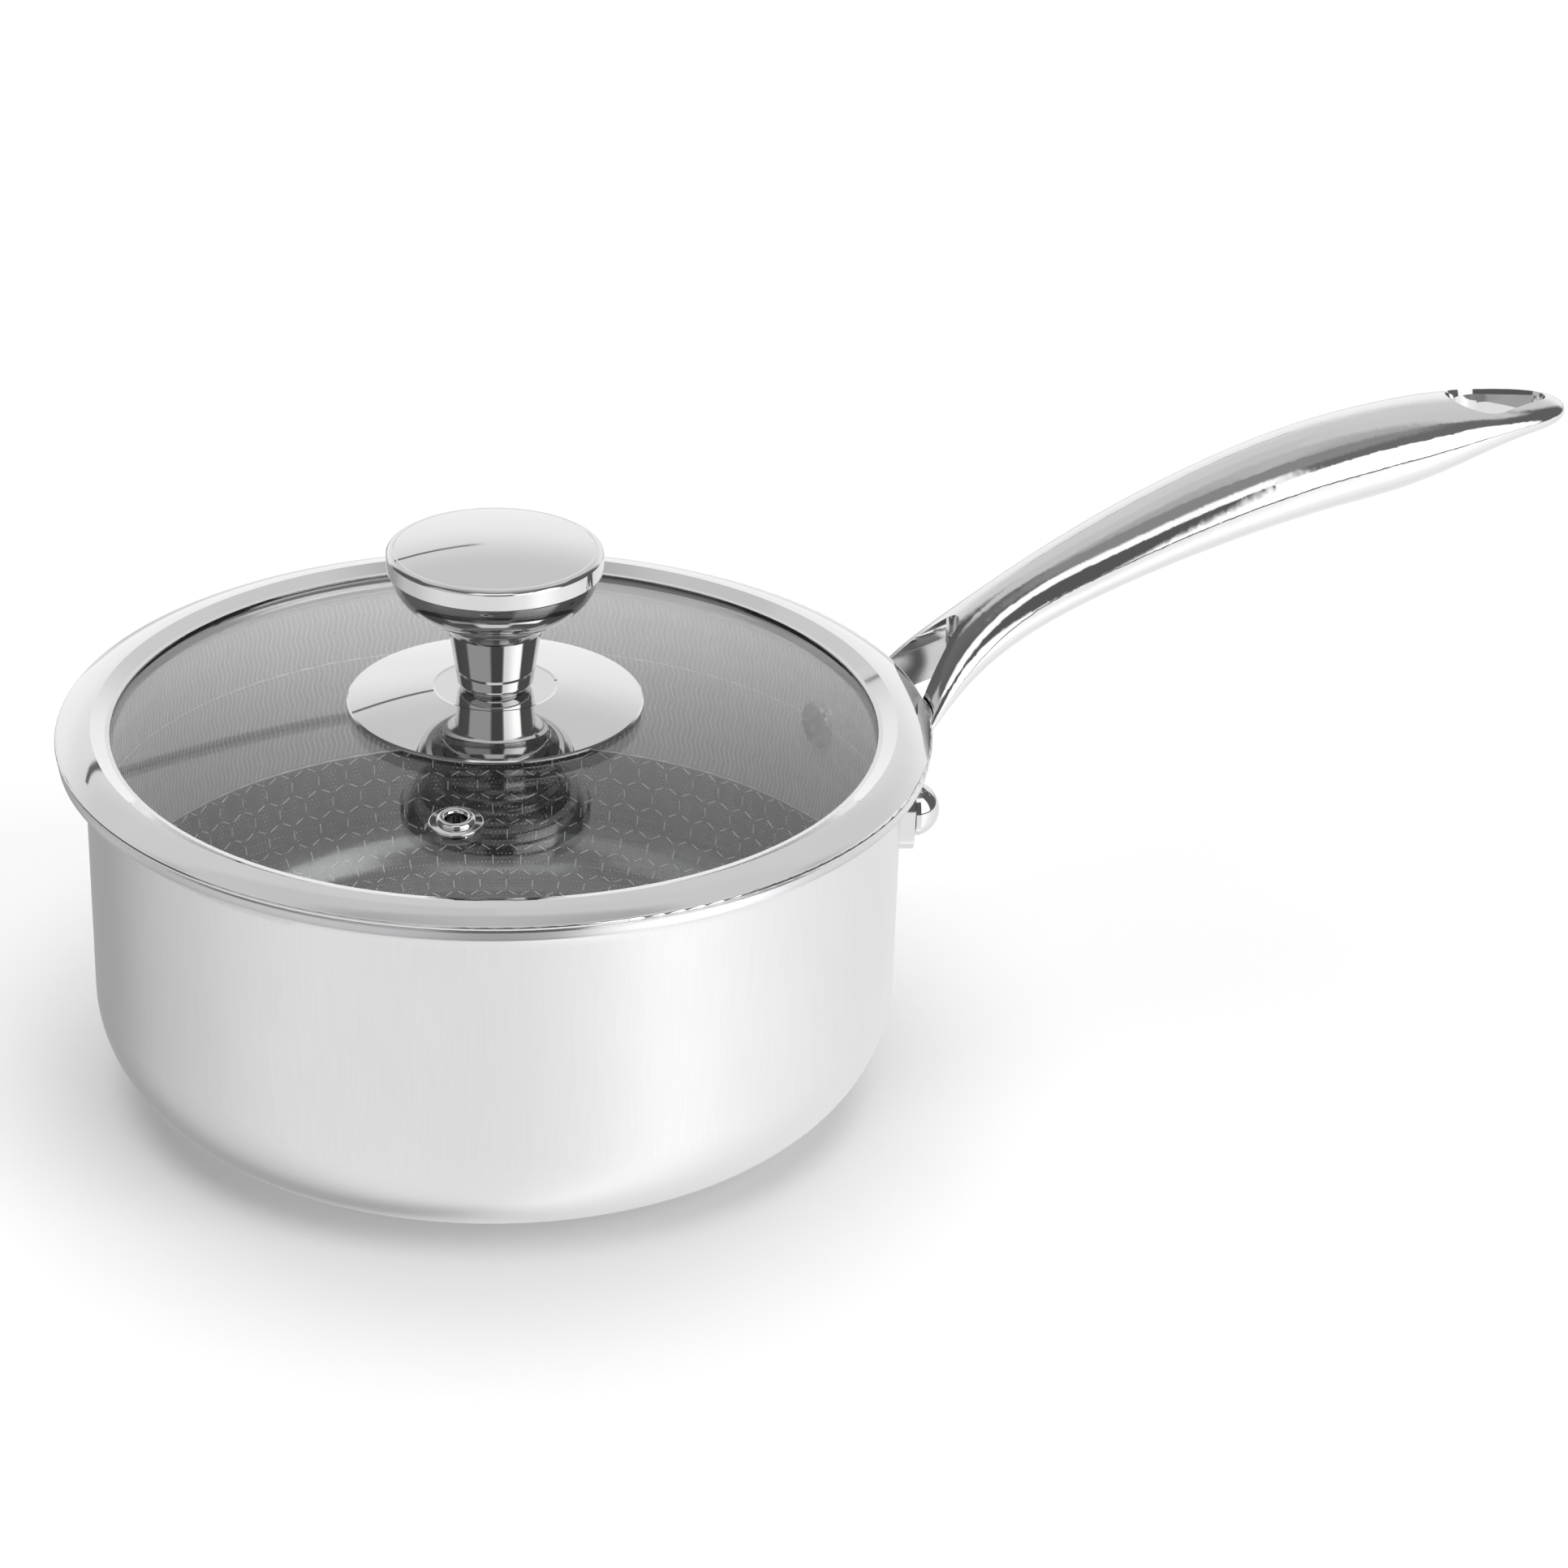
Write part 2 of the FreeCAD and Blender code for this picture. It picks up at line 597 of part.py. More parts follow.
vent_x = size.vent_reach * cosine(size.vent_azimuth)
vent_y = size.vent_reach * sine(size.vent_azimuth)

lid_glass = new_body("lid_glass")
turned(lid_glass, "glass_dome", [
    (size.glass_bore, on_dome(glass_centre, size.dome_radius, size.glass_bore)),
    (size.glass_bore, on_dome(glass_centre, glass_under, size.glass_bore)),
    (glass_reach, on_dome(glass_centre, glass_under, glass_reach), ZERO, glass_centre),
    (glass_reach, on_dome(glass_centre, size.dome_radius, glass_reach)),
    (size.glass_bore, on_dome(glass_centre, size.dome_radius, size.glass_bore), ZERO, glass_centre),
][1:])
vent_cut = lid_glass.newObject("PartDesign::Pocket", "vent_hole")
vent_cut.Profile = circles(lid_glass, "vent_hole_circle", "XY_Plane", [(vent_x, vent_y, size.vent_bore)])
vent_cut.Type = "ThroughAll"
vent_cut.Reversed = True
doc.recompute()

# ---------------------------------------------------------------- lid rim band, one folded sheet


def arc_centre(x1, z1, x2, z2, bulge):
    """Centre of the arc between two points that bulges to the left of the way between them."""
    dx = x2 - x1
    dz = z2 - z1
    chord = root(dx * dx + dz * dz)
    radius = (chord * chord / 4 + bulge * bulge) / (bulge * 2)
    back = (radius - bulge) / chord
    return ((x1 + x2) / 2 + dz * back, (z1 + z2) / 2 - dx * back)


sheet_thick = size.band_sheet
hem_half = size.band_edge_high / 2
hem_x = band_out - hem_half
hem_top = seat_plane + size.band_edge_high
crest_x = size.wall_radius - size.band_crest_inset
mouth_x = size.wall_radius - size.band_mouth_inset
crest_z = seat_plane + size.band_crest_high
mouth_under = on_dome(glass_centre, size.dome_radius, mouth_x) + size.glass_slack
inner_x = hem_x - size.band_closed
inner_top = hem_top + (crest_z - hem_top) * (size.band_closed / (hem_x - crest_x)) - sheet_thick * 0.7
top_centre = arc_centre(crest_x, crest_z, hem_x, hem_top, size.band_bulge)
under_centre = arc_centre(crest_x, crest_z - sheet_thick, inner_x, inner_top, size.band_bulge)

lid_band = new_body("lid_rim_band")
turned(lid_band, "rim_band", [
    (skirt_out - size.hook_reach, skirt_foot),
    (skirt_in, skirt_foot),
    (skirt_out, skirt_foot + sheet_thick, skirt_in, skirt_foot + sheet_thick),
    (skirt_out, seat_plane),
    (hem_x, seat_plane),
    (band_out, seat_plane + hem_half, hem_x, seat_plane + hem_half),
    (hem_x, hem_top, hem_x, seat_plane + hem_half),
    (crest_x, crest_z) + top_centre,
    (mouth_x + 1.1, mouth_under + sheet_thick + 0.1),
    (mouth_x, mouth_under + sheet_thick),
    (mouth_x, mouth_under),
    (mouth_x + 1.3, mouth_under + 0.05),
    (crest_x, crest_z - sheet_thick),
    (inner_x, inner_top) + under_centre,
    (inner_x, seat_plane + sheet_thick),
    (skirt_in, seat_plane + sheet_thick),
    (skirt_in, skirt_foot + sheet_thick),
    (skirt_out - size.hook_reach, skirt_foot + sheet_thick),
])

# ---------------------------------------------------------------- steam vent

vent_z = on_dome(glass_centre, size.dome_radius, size.vent_reach)
vent_tilt = math.degrees(math.asin(size.vent_reach.value / size.dome_radius.value))
vent_side = math.radians(size.vent_azimuth.value)
glass_back = -size.glass_thick - 0.05
washer_back = glass_back - 0.6


def set_on_vent(body):
    """Stand a body that was made at the origin square on the glass at the vent."""
    turn = Rotation(Vector(-math.sin(vent_side), math.cos(vent_side), 0), vent_tilt)
    body.Placement = Placement(Vector(vent_x.value, vent_y.value, vent_z.value), turn)
    body.setExpression("Placement.Base.x", vent_x.formula)
    body.setExpression("Placement.Base.y", vent_y.formula)
    body.setExpression("Placement.Base.z", vent_z.formula)
    doc.recompute()


roll = (size.vent_crown - size.vent_hole) / 2
crown_x = size.vent_hole + roll
crown_z = size.vent_rise - roll
eyelet = new_body("vent_eyelet")
turned(eyelet, "eyelet", [
    (size.vent_hole, washer_back - 0.6),
    (size.vent_barrel + 1.3, washer_back - 0.6),
    (size.vent_barrel + 1.5, washer_back),
    (size.vent_barrel, washer_back),
    (size.vent_barrel, ZERO),
    (size.vent_flange, ZERO),
    (size.vent_flange, 0.35),
    (size.vent_flange - 0.35, 0.7, size.vent_flange - 0.35, 0.35),
    (size.vent_crown, 0.8),
    (size.vent_crown, crown_z),
    (crown_x, size.vent_rise, crown_x, crown_z),
    (size.vent_hole, crown_z, crown_x, crown_z),
])
set_on_vent(eyelet)

vent_washer = new_body("vent_washer")
turned(vent_washer, "vent_washer_ring", [
    (size.vent_barrel + 0.05, washer_back),
    (size.vent_flange - 0.5, washer_back),
    (size.vent_flange - 0.5, glass_back),
    (size.vent_barrel + 0.05, glass_back),
])
set_on_vent(vent_washer)

# ---------------------------------------------------------------- cover disc and its pad

disc_centre = glass_top + size.disc_high - size.disc_dome
disc_under = size.disc_dome - size.disc_sheet
step_x = size.seat_radius + 0.7
seat_z = on_dome(disc_centre, size.disc_dome, step_x) - size.seat_deep
screw_hole = size.screw_radius + size.screw_gap

disc = new_body("cover_disc")
turned(disc, "disc", [
    (screw_hole, seat_z - size.disc_sheet),
    (size.seat_radius, seat_z - size.disc_sheet),
    (step_x, on_dome(disc_centre, disc_under, step_x)),
    (size.disc_radius - 0.3, on_dome(disc_centre, disc_under, size.disc_radius - 0.3), ZERO, disc_centre),
    (size.disc_radius, on_dome(disc_centre, size.disc_dome, size.disc_radius) - 0.7),
    (size.disc_radius, on_dome(disc_centre, size.disc_dome, size.disc_radius) - 0.25),
    (size.disc_radius - 0.35, on_dome(disc_centre, size.disc_dome, size.disc_radius - 0.35)),
    (step_x, on_dome(disc_centre, size.disc_dome, step_x), ZERO, disc_centre),
    (size.seat_radius, seat_z),
    (screw_hole, seat_z),
])

pad = new_body("disc_pad")
turned(pad, "pad", [
    (screw_hole, on_dome(glass_centre, glass_under, size.glass_bore) + 0.1),
    (size.glass_bore - 0.1, on_dome(glass_centre, glass_under, size.glass_bore) + 0.1),
    (size.glass_bore - 0.1, glass_top),
    (size.pad_radius, glass_top),
    (size.pad_radius, seat_z - size.disc_sheet),
    (screw_hole, seat_z - size.disc_sheet),
])

# ---------------------------------------------------------------- knob

neck_z = seat_z + size.neck_high
ring_z = seat_z + size.knob_seam
waist_z = seat_z + 2.6
foot_curve = arc_centre(size.neck_waist, waist_z, size.neck_foot, seat_z, as_size(0.35))
flare_curve = arc_centre(size.neck_top, neck_z, size.knob_step - 0.5, ring_z - 0.8, as_size(0.6))
insert_foot = seat_z + 0.5
insert_head = insert_foot + size.insert_long
plug_radius = size.knob_step - 8.0
plug_z = ring_z + size.knob_shell

neck = new_body("knob_neck")
turned(neck, "neck", [
    (size.insert_radius, seat_z),
    (size.neck_foot, seat_z),
    (size.neck_waist, waist_z) + foot_curve,
    (size.neck_top, neck_z),
    (size.knob_step - 0.5, ring_z - 0.8) + flare_curve,
    (size.knob_step - 0.1, ring_z - 0.7),
    (size.knob_step, ring_z),
    (plug_radius, ring_z),
    (plug_radius, plug_z + 0.8),
    (ZERO, plug_z + 0.8),
    (ZERO, insert_head + 1.0),
    (size.insert_radius, insert_head),
])

rim_x = size.knob_radius
side_foot = seat_z + size.knob_rise
bowl_curve = arc_centre(rim_x - 0.9, side_foot, size.knob_step + 0.3, ring_z + 0.3, as_size(2.2))
bowl_inside = arc_centre(rim_x - 0.9 - size.knob_shell, side_foot, size.knob_step, plug_z + 0.4, as_size(2.1))
bowl = new_body("knob_bowl")
turned(bowl, "bowl", [
    (plug_radius, ring_z),
    (size.knob_step - 0.2, ring_z),
    (size.knob_step + 0.3, ring_z + 0.3),
    (rim_x - 0.9, side_foot) + bowl_curve,
    (rim_x - 0.9 - size.knob_shell, side_foot),
    (size.knob_step, plug_z + 0.4) + bowl_inside,
    (size.knob_step - 1.0, plug_z),
    (plug_radius, plug_z),
])

side_head = side_foot + size.knob_side
crown_rim_x = rim_x - 2.0
crown_rim_z = side_head + 1.0
crown_top = seat_z + size.knob_crown
shoulder = arc_centre(crown_rim_x, crown_rim_z, rim_x, side_head, as_size(0.35))
crown_fall = crown_top - crown_rim_z
crown_reach = (crown_rim_x * crown_rim_x + crown_fall * crown_fall) / (crown_fall * 2)
crown_centre = crown_top - crown_reach
crown_inside = crown_reach - size.knob_shell
hollow_x = crown_rim_x - 1.0
cap = new_body("knob_cap")
turned(cap, "cap", [
    (rim_x - 2.6, side_foot),
    (rim_x - 0.4, side_foot),
    (rim_x, side_foot + 0.4, rim_x - 0.4, side_foot + 0.4),
    (rim_x, side_head),
    (crown_rim_x, crown_rim_z) + shoulder,
    (ZERO, crown_top, ZERO, crown_centre),
    (ZERO, crown_top - size.knob_shell),
    (hollow_x, on_dome(crown_centre, crown_inside, hollow_x), ZERO, crown_centre),
    (rim_x - size.knob_shell - 0.3, side_head - 0.2),
    (rim_x - size.knob_shell - 0.3, side_foot + 0.8),
    (rim_x - 2.6, side_foot + 0.8),
])

insert = new_body("knob_insert")
turned(insert, "threaded_insert", [
    (size.screw_radius + size.thread_gap, insert_foot),
    (size.insert_radius, insert_foot),
    (size.insert_radius, insert_head),
    (size.screw_radius + size.thread_gap, insert_head),
])

# ---------------------------------------------------------------- screw stack under the glass

gasket_top = on_dome(glass_centre, glass_under, size.gasket_radius)
gasket_foot = gasket_top - size.gasket_thick
washer_foot = gasket_foot - size.washer_thick
lock_foot = washer_foot - size.lock_thick
head_foot = lock_foot - size.head_high


def washer(label, inner, outer, low, high):
    """A plain flat ring."""
    body = new_body(label)
    turned(body, label + "_ring", [(inner, low), (outer, low), (outer, high), (inner, high)])
    return body


gasket = washer("underside_gasket", screw_hole, size.gasket_radius, gasket_foot, gasket_top)
flat_washer = washer("underside_washer", screw_hole, size.gasket_radius - 0.5, washer_foot, gasket_foot)
lock_washer = washer("lock_washer", size.screw_radius + 0.15, size.lock_radius, lock_foot, washer_foot)

slot_deep = size.head_high * 0.55
screw = new_body("knob_screw")
turned(screw, "screw", [
    (ZERO, head_foot + slot_deep),
    (1.4, head_foot + slot_deep),
    (1.6, head_foot),
    (size.head_radius - 1.2, head_foot),
    (size.head_radius, head_foot + 1.2, size.head_radius - 1.2, head_foot + 1.2),
    (size.head_radius, lock_foot),
    (size.screw_radius, lock_foot),
    (size.screw_radius, insert_head - 1.6),
    (size.screw_radius - 0.6, insert_head - 1.0),
    (ZERO, insert_head - 1.0),
])

# ---------------------------------------------------------------- checks and files

doc.recompute()
nodes = [item for item in doc.Objects if item.TypeId == "PartDesign::Body"]
for item in doc.Objects:
    if "Invalid" in item.State or "Error" in item.State:
        raise RuntimeError("%s did not rebuild: %s" % (item.Label, item.State))
for node in nodes:
    if node.Shape.isNull() or not node.Shape.isValid():
        raise RuntimeError("%s has no valid shape" % node.Label)

os.makedirs("parts", exist_ok=True)
for node in nodes:
    node.Shape.exportStep("parts/%s.step" % node.Label)
    print("%-22s %2d solid(s) %10.1f mm3" % (node.Label, len(node.Shape.Solids), node.Shape.Volume))
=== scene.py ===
"""Saucepan with glass lid: its finishes, the raised pattern inside the pan, the studio and the camera."""

import logging
import math
from abc import ABC, abstractmethod
from dataclasses import dataclass
from enum import Enum
from typing import ClassVar, Iterable, Sequence, Union

import bpy
from mathutils import Euler, Matrix, Vector


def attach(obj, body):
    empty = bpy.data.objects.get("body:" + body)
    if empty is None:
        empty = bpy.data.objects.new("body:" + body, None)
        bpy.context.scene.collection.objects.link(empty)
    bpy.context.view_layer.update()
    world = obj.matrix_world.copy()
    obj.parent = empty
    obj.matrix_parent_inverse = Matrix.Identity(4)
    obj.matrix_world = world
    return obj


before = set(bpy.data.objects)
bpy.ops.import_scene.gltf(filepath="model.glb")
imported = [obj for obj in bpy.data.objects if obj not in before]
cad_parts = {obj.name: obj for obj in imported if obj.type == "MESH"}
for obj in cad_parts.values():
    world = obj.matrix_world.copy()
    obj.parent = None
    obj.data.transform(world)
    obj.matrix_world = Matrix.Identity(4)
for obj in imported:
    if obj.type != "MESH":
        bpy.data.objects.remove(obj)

log = logging.getLogger("saucepan")

MM = 0.001
BORDER_HIGH = 41.6 * MM  # where the honeycomb ends and the zigzags begin, above the base

Value = Union[float, Sequence[float], bpy.types.NodeSocket]


class Body(Enum):
    """The two pieces of the saucepan that move apart."""

    PAN = "pan"
    LID = "lid"


class Grain(Enum):
    """The way that a finishing tool ran over the metal."""

    UPRIGHT = "upright"
    ROUND = "round"


class NodeBoard:
    """A node tree with short calls for adding nodes and joining them."""

    def __init__(self, tree: bpy.types.NodeTree) -> None:
        """Keeps the tree that the nodes go in."""
        self.tree = tree

    def add(self, kind: str, inputs: dict | None = None, **settings) -> bpy.types.Node:
        """Adds a node, sets it up and joins or fills its inputs.

        Args:
            kind: the node's type name.
            inputs: input name or number to a plain value or another node's output.
            **settings: properties of the node itself.

        Returns:
            The new node.
        """
        node = self.tree.nodes.new(kind)
        for name, value in settings.items():
            setattr(node, name, value)
        for name, value in (inputs or {}).items():
            self.feed(node.inputs[name], value)
        return node

    def feed(self, socket: bpy.types.NodeSocket, value: Value) -> None:
        """Joins another node's output to an input, or sets its plain value."""
        if isinstance(value, bpy.types.NodeSocket):
            self.tree.links.new(value, socket)
        else:
            socket.default_value = value

    def maths(self, operation: str, first: Value, second: Value = 0.0) -> bpy.types.NodeSocket:
        """Returns the result of one sum on plain numbers."""
        kind = "ShaderNodeMath"
        return self.add(kind, {0: first, 1: second}, operation=operation).outputs[0]

    def vector(self, operation: str, first: Value, second: Value = (0, 0, 0)) -> bpy.types.Node:
        """Returns a node that works on two vectors."""
        return self.add("ShaderNodeVectorMath", {0: first, 1: second}, operation=operation)

    def spread(self, value: Value, lowest: float, highest: float, *,
               start: float = 0.0, end: float = 1.0, smooth: bool = False) -> bpy.types.NodeSocket:
        """Maps a value from one range to another.

        Args:
            value: the number to map.
            lowest: the result where the value is at start.
            highest: the result where the value is at end.
            start: where the value's range begins.
            end: where the value's range ends.
            smooth: eases in and out instead of running straight.

        Returns:
            The mapped number, kept inside its range.
        """
        inputs = {0: value, 1: start, 2: end, 3: lowest, 4: highest}
        style = "SMOOTHSTEP" if smooth else "LINEAR"
        return self.add("ShaderNodeMapRange", inputs, interpolation_type=style).outputs[0]

    def noise(self, place: Value, scale: float, detail: float = 3.0) -> bpy.types.NodeSocket:
        """Returns a cloud of values from 0 to 1.

        Args:
            place: the coordinates that the cloud lies in, in metres.
            scale: features for each metre.
            detail: how many finer layers lie over it.

        Returns:
            The cloud's value.
        """
        inputs = {"Vector": place, "Scale": scale, "Detail": detail}
        return self.add("ShaderNodeTexNoise", inputs).outputs[0]

    def mix(self, amount: Value, first: Value, second: Value) -> bpy.types.NodeSocket:
        """Returns a colour between two colours.

        Args:
            amount: 0 for the first colour, 1 for the second.
            first: red, green and blue, or another node's output.
            second: red, green and blue, or another node's output.

        Returns:
            The mixed colour.
        """
        ends = [end if isinstance(end, bpy.types.NodeSocket) else (*end, 1.0) for end in (first, second)]
        inputs = {"Factor": amount, 6: ends[0], 7: ends[1]}
        return self.add("ShaderNodeMix", inputs, data_type="RGBA").outputs[2]

    def reach(self, place: Value) -> bpy.types.NodeSocket:
        """Returns how far a point lies from the upright axis."""
        parts = self.add("ShaderNodeSeparateXYZ", {0: place}).outputs
        flat = self.add("ShaderNodeCombineXYZ", {0: parts[0], 1: parts[1]}).outputs[0]
        return self.vector("LENGTH", flat).outputs["Value"]

    def high(self, place: Value) -> bpy.types.NodeSocket:
        """Returns how high a point lies."""
        return self.add("ShaderNodeSeparateXYZ", {0: place}).outputs[2]


@dataclass(frozen=True)
class Finish(ABC):
    """A surface finish that pieces share."""

    name: str

    def build(self) -> bpy.types.Material:
        """Makes the material.

        Returns:
            A material whose detail is in metres on the piece itself.
        """
        material = bpy.data.materials.new(self.name)
        material.use_nodes = True
        board = NodeBoard(material.node_tree)
        shader = material.node_tree.nodes["Principled BSDF"]
        place = board.add("ShaderNodeTexCoord").outputs["Object"]
        self.paint(board, shader, place)
        return material

    @abstractmethod
    def paint(self, board: NodeBoard, shader: bpy.types.Node, place: bpy.types.NodeSocket) -> None:
        """Sets the shader up.

        Args:
            board: the material's nodes.
            shader: the surface shader.
            place: where a point lies on the piece, in metres.
        """

    @staticmethod
    def relief(board: NodeBoard, shader: bpy.types.Node, height: Value, deep: float) -> None:
        """Raises the surface by a pattern.

        Args:
            board: the material's nodes.
            shader: the surface shader.
            height: the pattern, from 0 to 1.
            deep: the height of the pattern, in metres.
        """
        inputs = {"Strength": 1.0, "Distance": deep, "Height": height}
        board.feed(shader.inputs["Normal"], board.add("ShaderNodeBump", inputs).outputs[0])


@dataclass(frozen=True)
class PolishedMetal(Finish):
    """Metal buffed to a mirror, with the faint waves, wipe marks and hairlines that buffing leaves."""

    light: tuple[float, float, float] = (0.68, 0.68, 0.675)
    dark: tuple[float, float, float] = (0.62, 0.62, 0.62)
    smooth: float = 0.03
    worn: float = 0.085
    wave_scale: float = 26.0
    wave_deep: float = 0.00006
    hairline_scale: float = 2600.0
    metal: float = 1.0
    smudge_scale: ClassVar[float] = 38.0
    hairline_squeeze: ClassVar[float] = 0.06
    hairline_rough: ClassVar[float] = 0.03

    def paint(self, board: NodeBoard, shader: bpy.types.Node, place: bpy.types.NodeSocket) -> None:
        """Lays the wipe marks over the polish, and the waves and hairlines under it."""
        shader.inputs["Metallic"].default_value = self.metal
        smudge = board.noise(place, self.smudge_scale, detail=4.0)
        drawn = board.add("ShaderNodeMapping", {0: place, 3: (1.0, self.hairline_squeeze, 1.0)}).outputs[0]
        hairline = board.noise(drawn, self.hairline_scale, detail=2.0)
        wiped = board.spread(smudge, self.smooth, self.worn, start=0.45, end=0.75, smooth=True)
        scratched = board.spread(hairline, 0.0, self.hairline_rough, start=0.62, end=0.75)
        board.feed(shader.inputs["Roughness"], board.maths("ADD", wiped, scratched))
        board.feed(shader.inputs["Base Color"], board.mix(smudge, self.light, self.dark))
        self.relief(board, shader, board.noise(place, self.wave_scale, detail=0.0), self.wave_deep)


@dataclass(frozen=True)
class BlackFoldBand(PolishedMetal):
    """Mirror polish on a folded band, painted black and matt inside its fold, under the edge of the glass."""

    # black colour and extra roughness painted inside the band's fold, under the glass edge
    fold_black: tuple[float, float, float] = (0.012, 0.012, 0.012)
    fold_black_rough: float = 0.4
    fold_radius: float = 98.05 * MM
    fold_high: float = 94.3 * MM
    fold_edge: float = 0.1 * MM

    def paint(self, board: NodeBoard, shader: bpy.types.Node, place: bpy.types.NodeSocket) -> None:
        """Polishes the band, then blackens the inside of its fold."""
        super().paint(board, shader, place)
        colour, rough = shader.inputs["Base Color"], shader.inputs["Roughness"]
        inside = board.spread(board.reach(place), 1.0, 0.0, start=self.fold_radius,
                              end=self.fold_radius + self.fold_edge)
        under = board.spread(board.high(place), 1.0, 0.0, start=self.fold_high,
                             end=self.fold_high + self.fold_edge)
        black = board.maths("MULTIPLY", inside, under)
        board.feed(colour, board.mix(black, colour.links[0].from_socket, self.fold_black))
        board.feed(shader.inputs["Metallic"], board.maths("SUBTRACT", 1.0, black))
        dulled = board.maths("MULTIPLY", black, self.fold_black_rough)
        board.feed(rough, board.maths("ADD", rough.links[0].from_socket, dulled))


@dataclass(frozen=True)
class SatinMetal(Finish):
    """Metal rubbed with a fine belt, which leaves a soft grain one way."""

    light: tuple[float, float, float] = (0.70, 0.70, 0.70)
    dark: tuple[float, float, float] = (0.66, 0.66, 0.66)
    grain: Grain = Grain.UPRIGHT
    grain_scale: float = 4200.0
    smooth: float = 0.30
    rough: float = 0.36
    grain_deep: float = 0.0000012
    grain_share: ClassVar[float] = 0.6
    upright_squeeze: ClassVar[float] = 0.012
    wear_scale: ClassVar[float] = 24.0

    def grain_lines(self, board: NodeBoard, place: bpy.types.NodeSocket) -> bpy.types.NodeSocket:
        """Returns the grain's pattern, from 0 to 1.

        Args:
            board: the material's nodes.
            place: where a point lies on the piece, in metres.

        Returns:
            A value that changes quickly across the grain and slowly along it.
        """
        if self.grain is Grain.UPRIGHT:
            drawn = board.add("ShaderNodeMapping", {0: place, 3: (1.0, 1.0, self.upright_squeeze)})
        else:
            drawn = board.add("ShaderNodeCombineXYZ", {0: board.reach(place), 1: board.high(place)})
        return board.noise(drawn.outputs[0], self.grain_scale, detail=2.0)

    def paint(self, board: NodeBoard, shader: bpy.types.Node, place: bpy.types.NodeSocket) -> None:
        """Spreads the grain over colour, roughness and relief, with broad wear under it."""
        shader.inputs["Metallic"].default_value = 1.0
        grain = self.grain_lines(board, place)
        wear = board.noise(place, self.wear_scale, detail=5.0)
        mixed = board.maths("ADD", board.maths("MULTIPLY", grain, self.grain_share),
                            board.maths("MULTIPLY", wear, 1.0 - self.grain_share))
        shade = board.spread(mixed, 0.0, 1.0, start=0.3, end=0.7)
        board.feed(shader.inputs["Roughness"],
                   board.spread(mixed, self.smooth, self.rough, start=0.3, end=0.7))
        board.feed(shader.inputs["Base Color"], board.mix(shade, self.light, self.dark))
        self.relief(board, shader, grain, self.grain_deep)


@dataclass(frozen=True)
class NonStick(Finish):
    """A dark baked coating with a metal fleck, worn back to satin steel between the zigzags of the wall."""

    dark: tuple[float, float, float] = (0.014, 0.014, 0.015)
    light: tuple[float, float, float] = (0.035, 0.035, 0.036)
    steel: tuple[float, float, float] = (0.54, 0.54, 0.54)
    smooth: float = 0.20
    rough: float = 0.30
    gloss: float = 0.9
    glaze_rough: float = 0.13
    glaze_bend: float = 1.9
    pebble_scale: float = 2600.0
    pebble_deep: float = 0.000006
    fleck_scale: float = 5200.0
    fleck_share: float = 0.7
    cloud_scale: float = 30.0
    border: float = BORDER_HIGH
    border_soft: float = 0.4 * MM
    bare_metal: float = 0.25
    bare_rough: float = 0.28
    lip: float = 85.0 * MM
    lip_soft: float = 0.6 * MM
    lip_metal: float = 0.7
    lip_polish: float = 0.38

    def paint(self, board: NodeBoard, shader: bpy.types.Node, place: bpy.types.NodeSocket) -> None:
        """Mixes the fleck into the coating, pebbles it, bares the upper wall and polishes the pouring lip."""
        shader.inputs["Specular IOR Level"].default_value = self.gloss
        shader.inputs["Coat Weight"].default_value = 1.0
        shader.inputs["Coat Roughness"].default_value = self.glaze_rough
        shader.inputs["Coat IOR"].default_value = self.glaze_bend
        cloud = board.noise(place, self.cloud_scale, detail=4.0)
        high = board.high(place)
        bare = board.spread(high, 0.0, 1.0, start=self.border - self.border_soft,
                            end=self.border + self.border_soft)
        lip = board.spread(high, 0.0, 1.0, start=self.lip, end=self.lip + self.lip_soft)
        board.feed(shader.inputs["Base Color"],
                   board.mix(bare, self.coating(board, place, cloud), self.steel))
        board.feed(shader.inputs["Metallic"],
                   board.maths("ADD", board.maths("MULTIPLY", bare, self.bare_metal),
                               board.maths("MULTIPLY", lip, self.lip_metal)))
        coat = board.spread(cloud, self.smooth, self.rough, start=0.3, end=0.7)
        satin = board.maths("ADD", coat, board.maths("MULTIPLY", bare, self.bare_rough))
        board.feed(shader.inputs["Roughness"],
                   board.maths("SUBTRACT", satin, board.maths("MULTIPLY", lip, self.lip_polish)))
        self.relief(board, shader, board.noise(place, self.pebble_scale, detail=2.0), self.pebble_deep)

    def coating(self, board: NodeBoard, place: bpy.types.NodeSocket,
                cloud: bpy.types.NodeSocket) -> bpy.types.NodeSocket:
        """Returns the coating's own colour.

        Args:
            board: the material's nodes.
            place: where a point lies on the piece, in metres.
            cloud: the broad changes in shade.

        Returns:
            The dark colour with its metal fleck.
        """
        fleck = board.noise(place, self.fleck_scale, detail=1.0)
        shade = board.maths("ADD", board.spread(fleck, 0.0, self.fleck_share, start=0.55, end=0.75),
                            board.spread(cloud, 0.0, 1.0 - self.fleck_share, start=0.35, end=0.65))
        return board.mix(shade, self.dark, self.light)


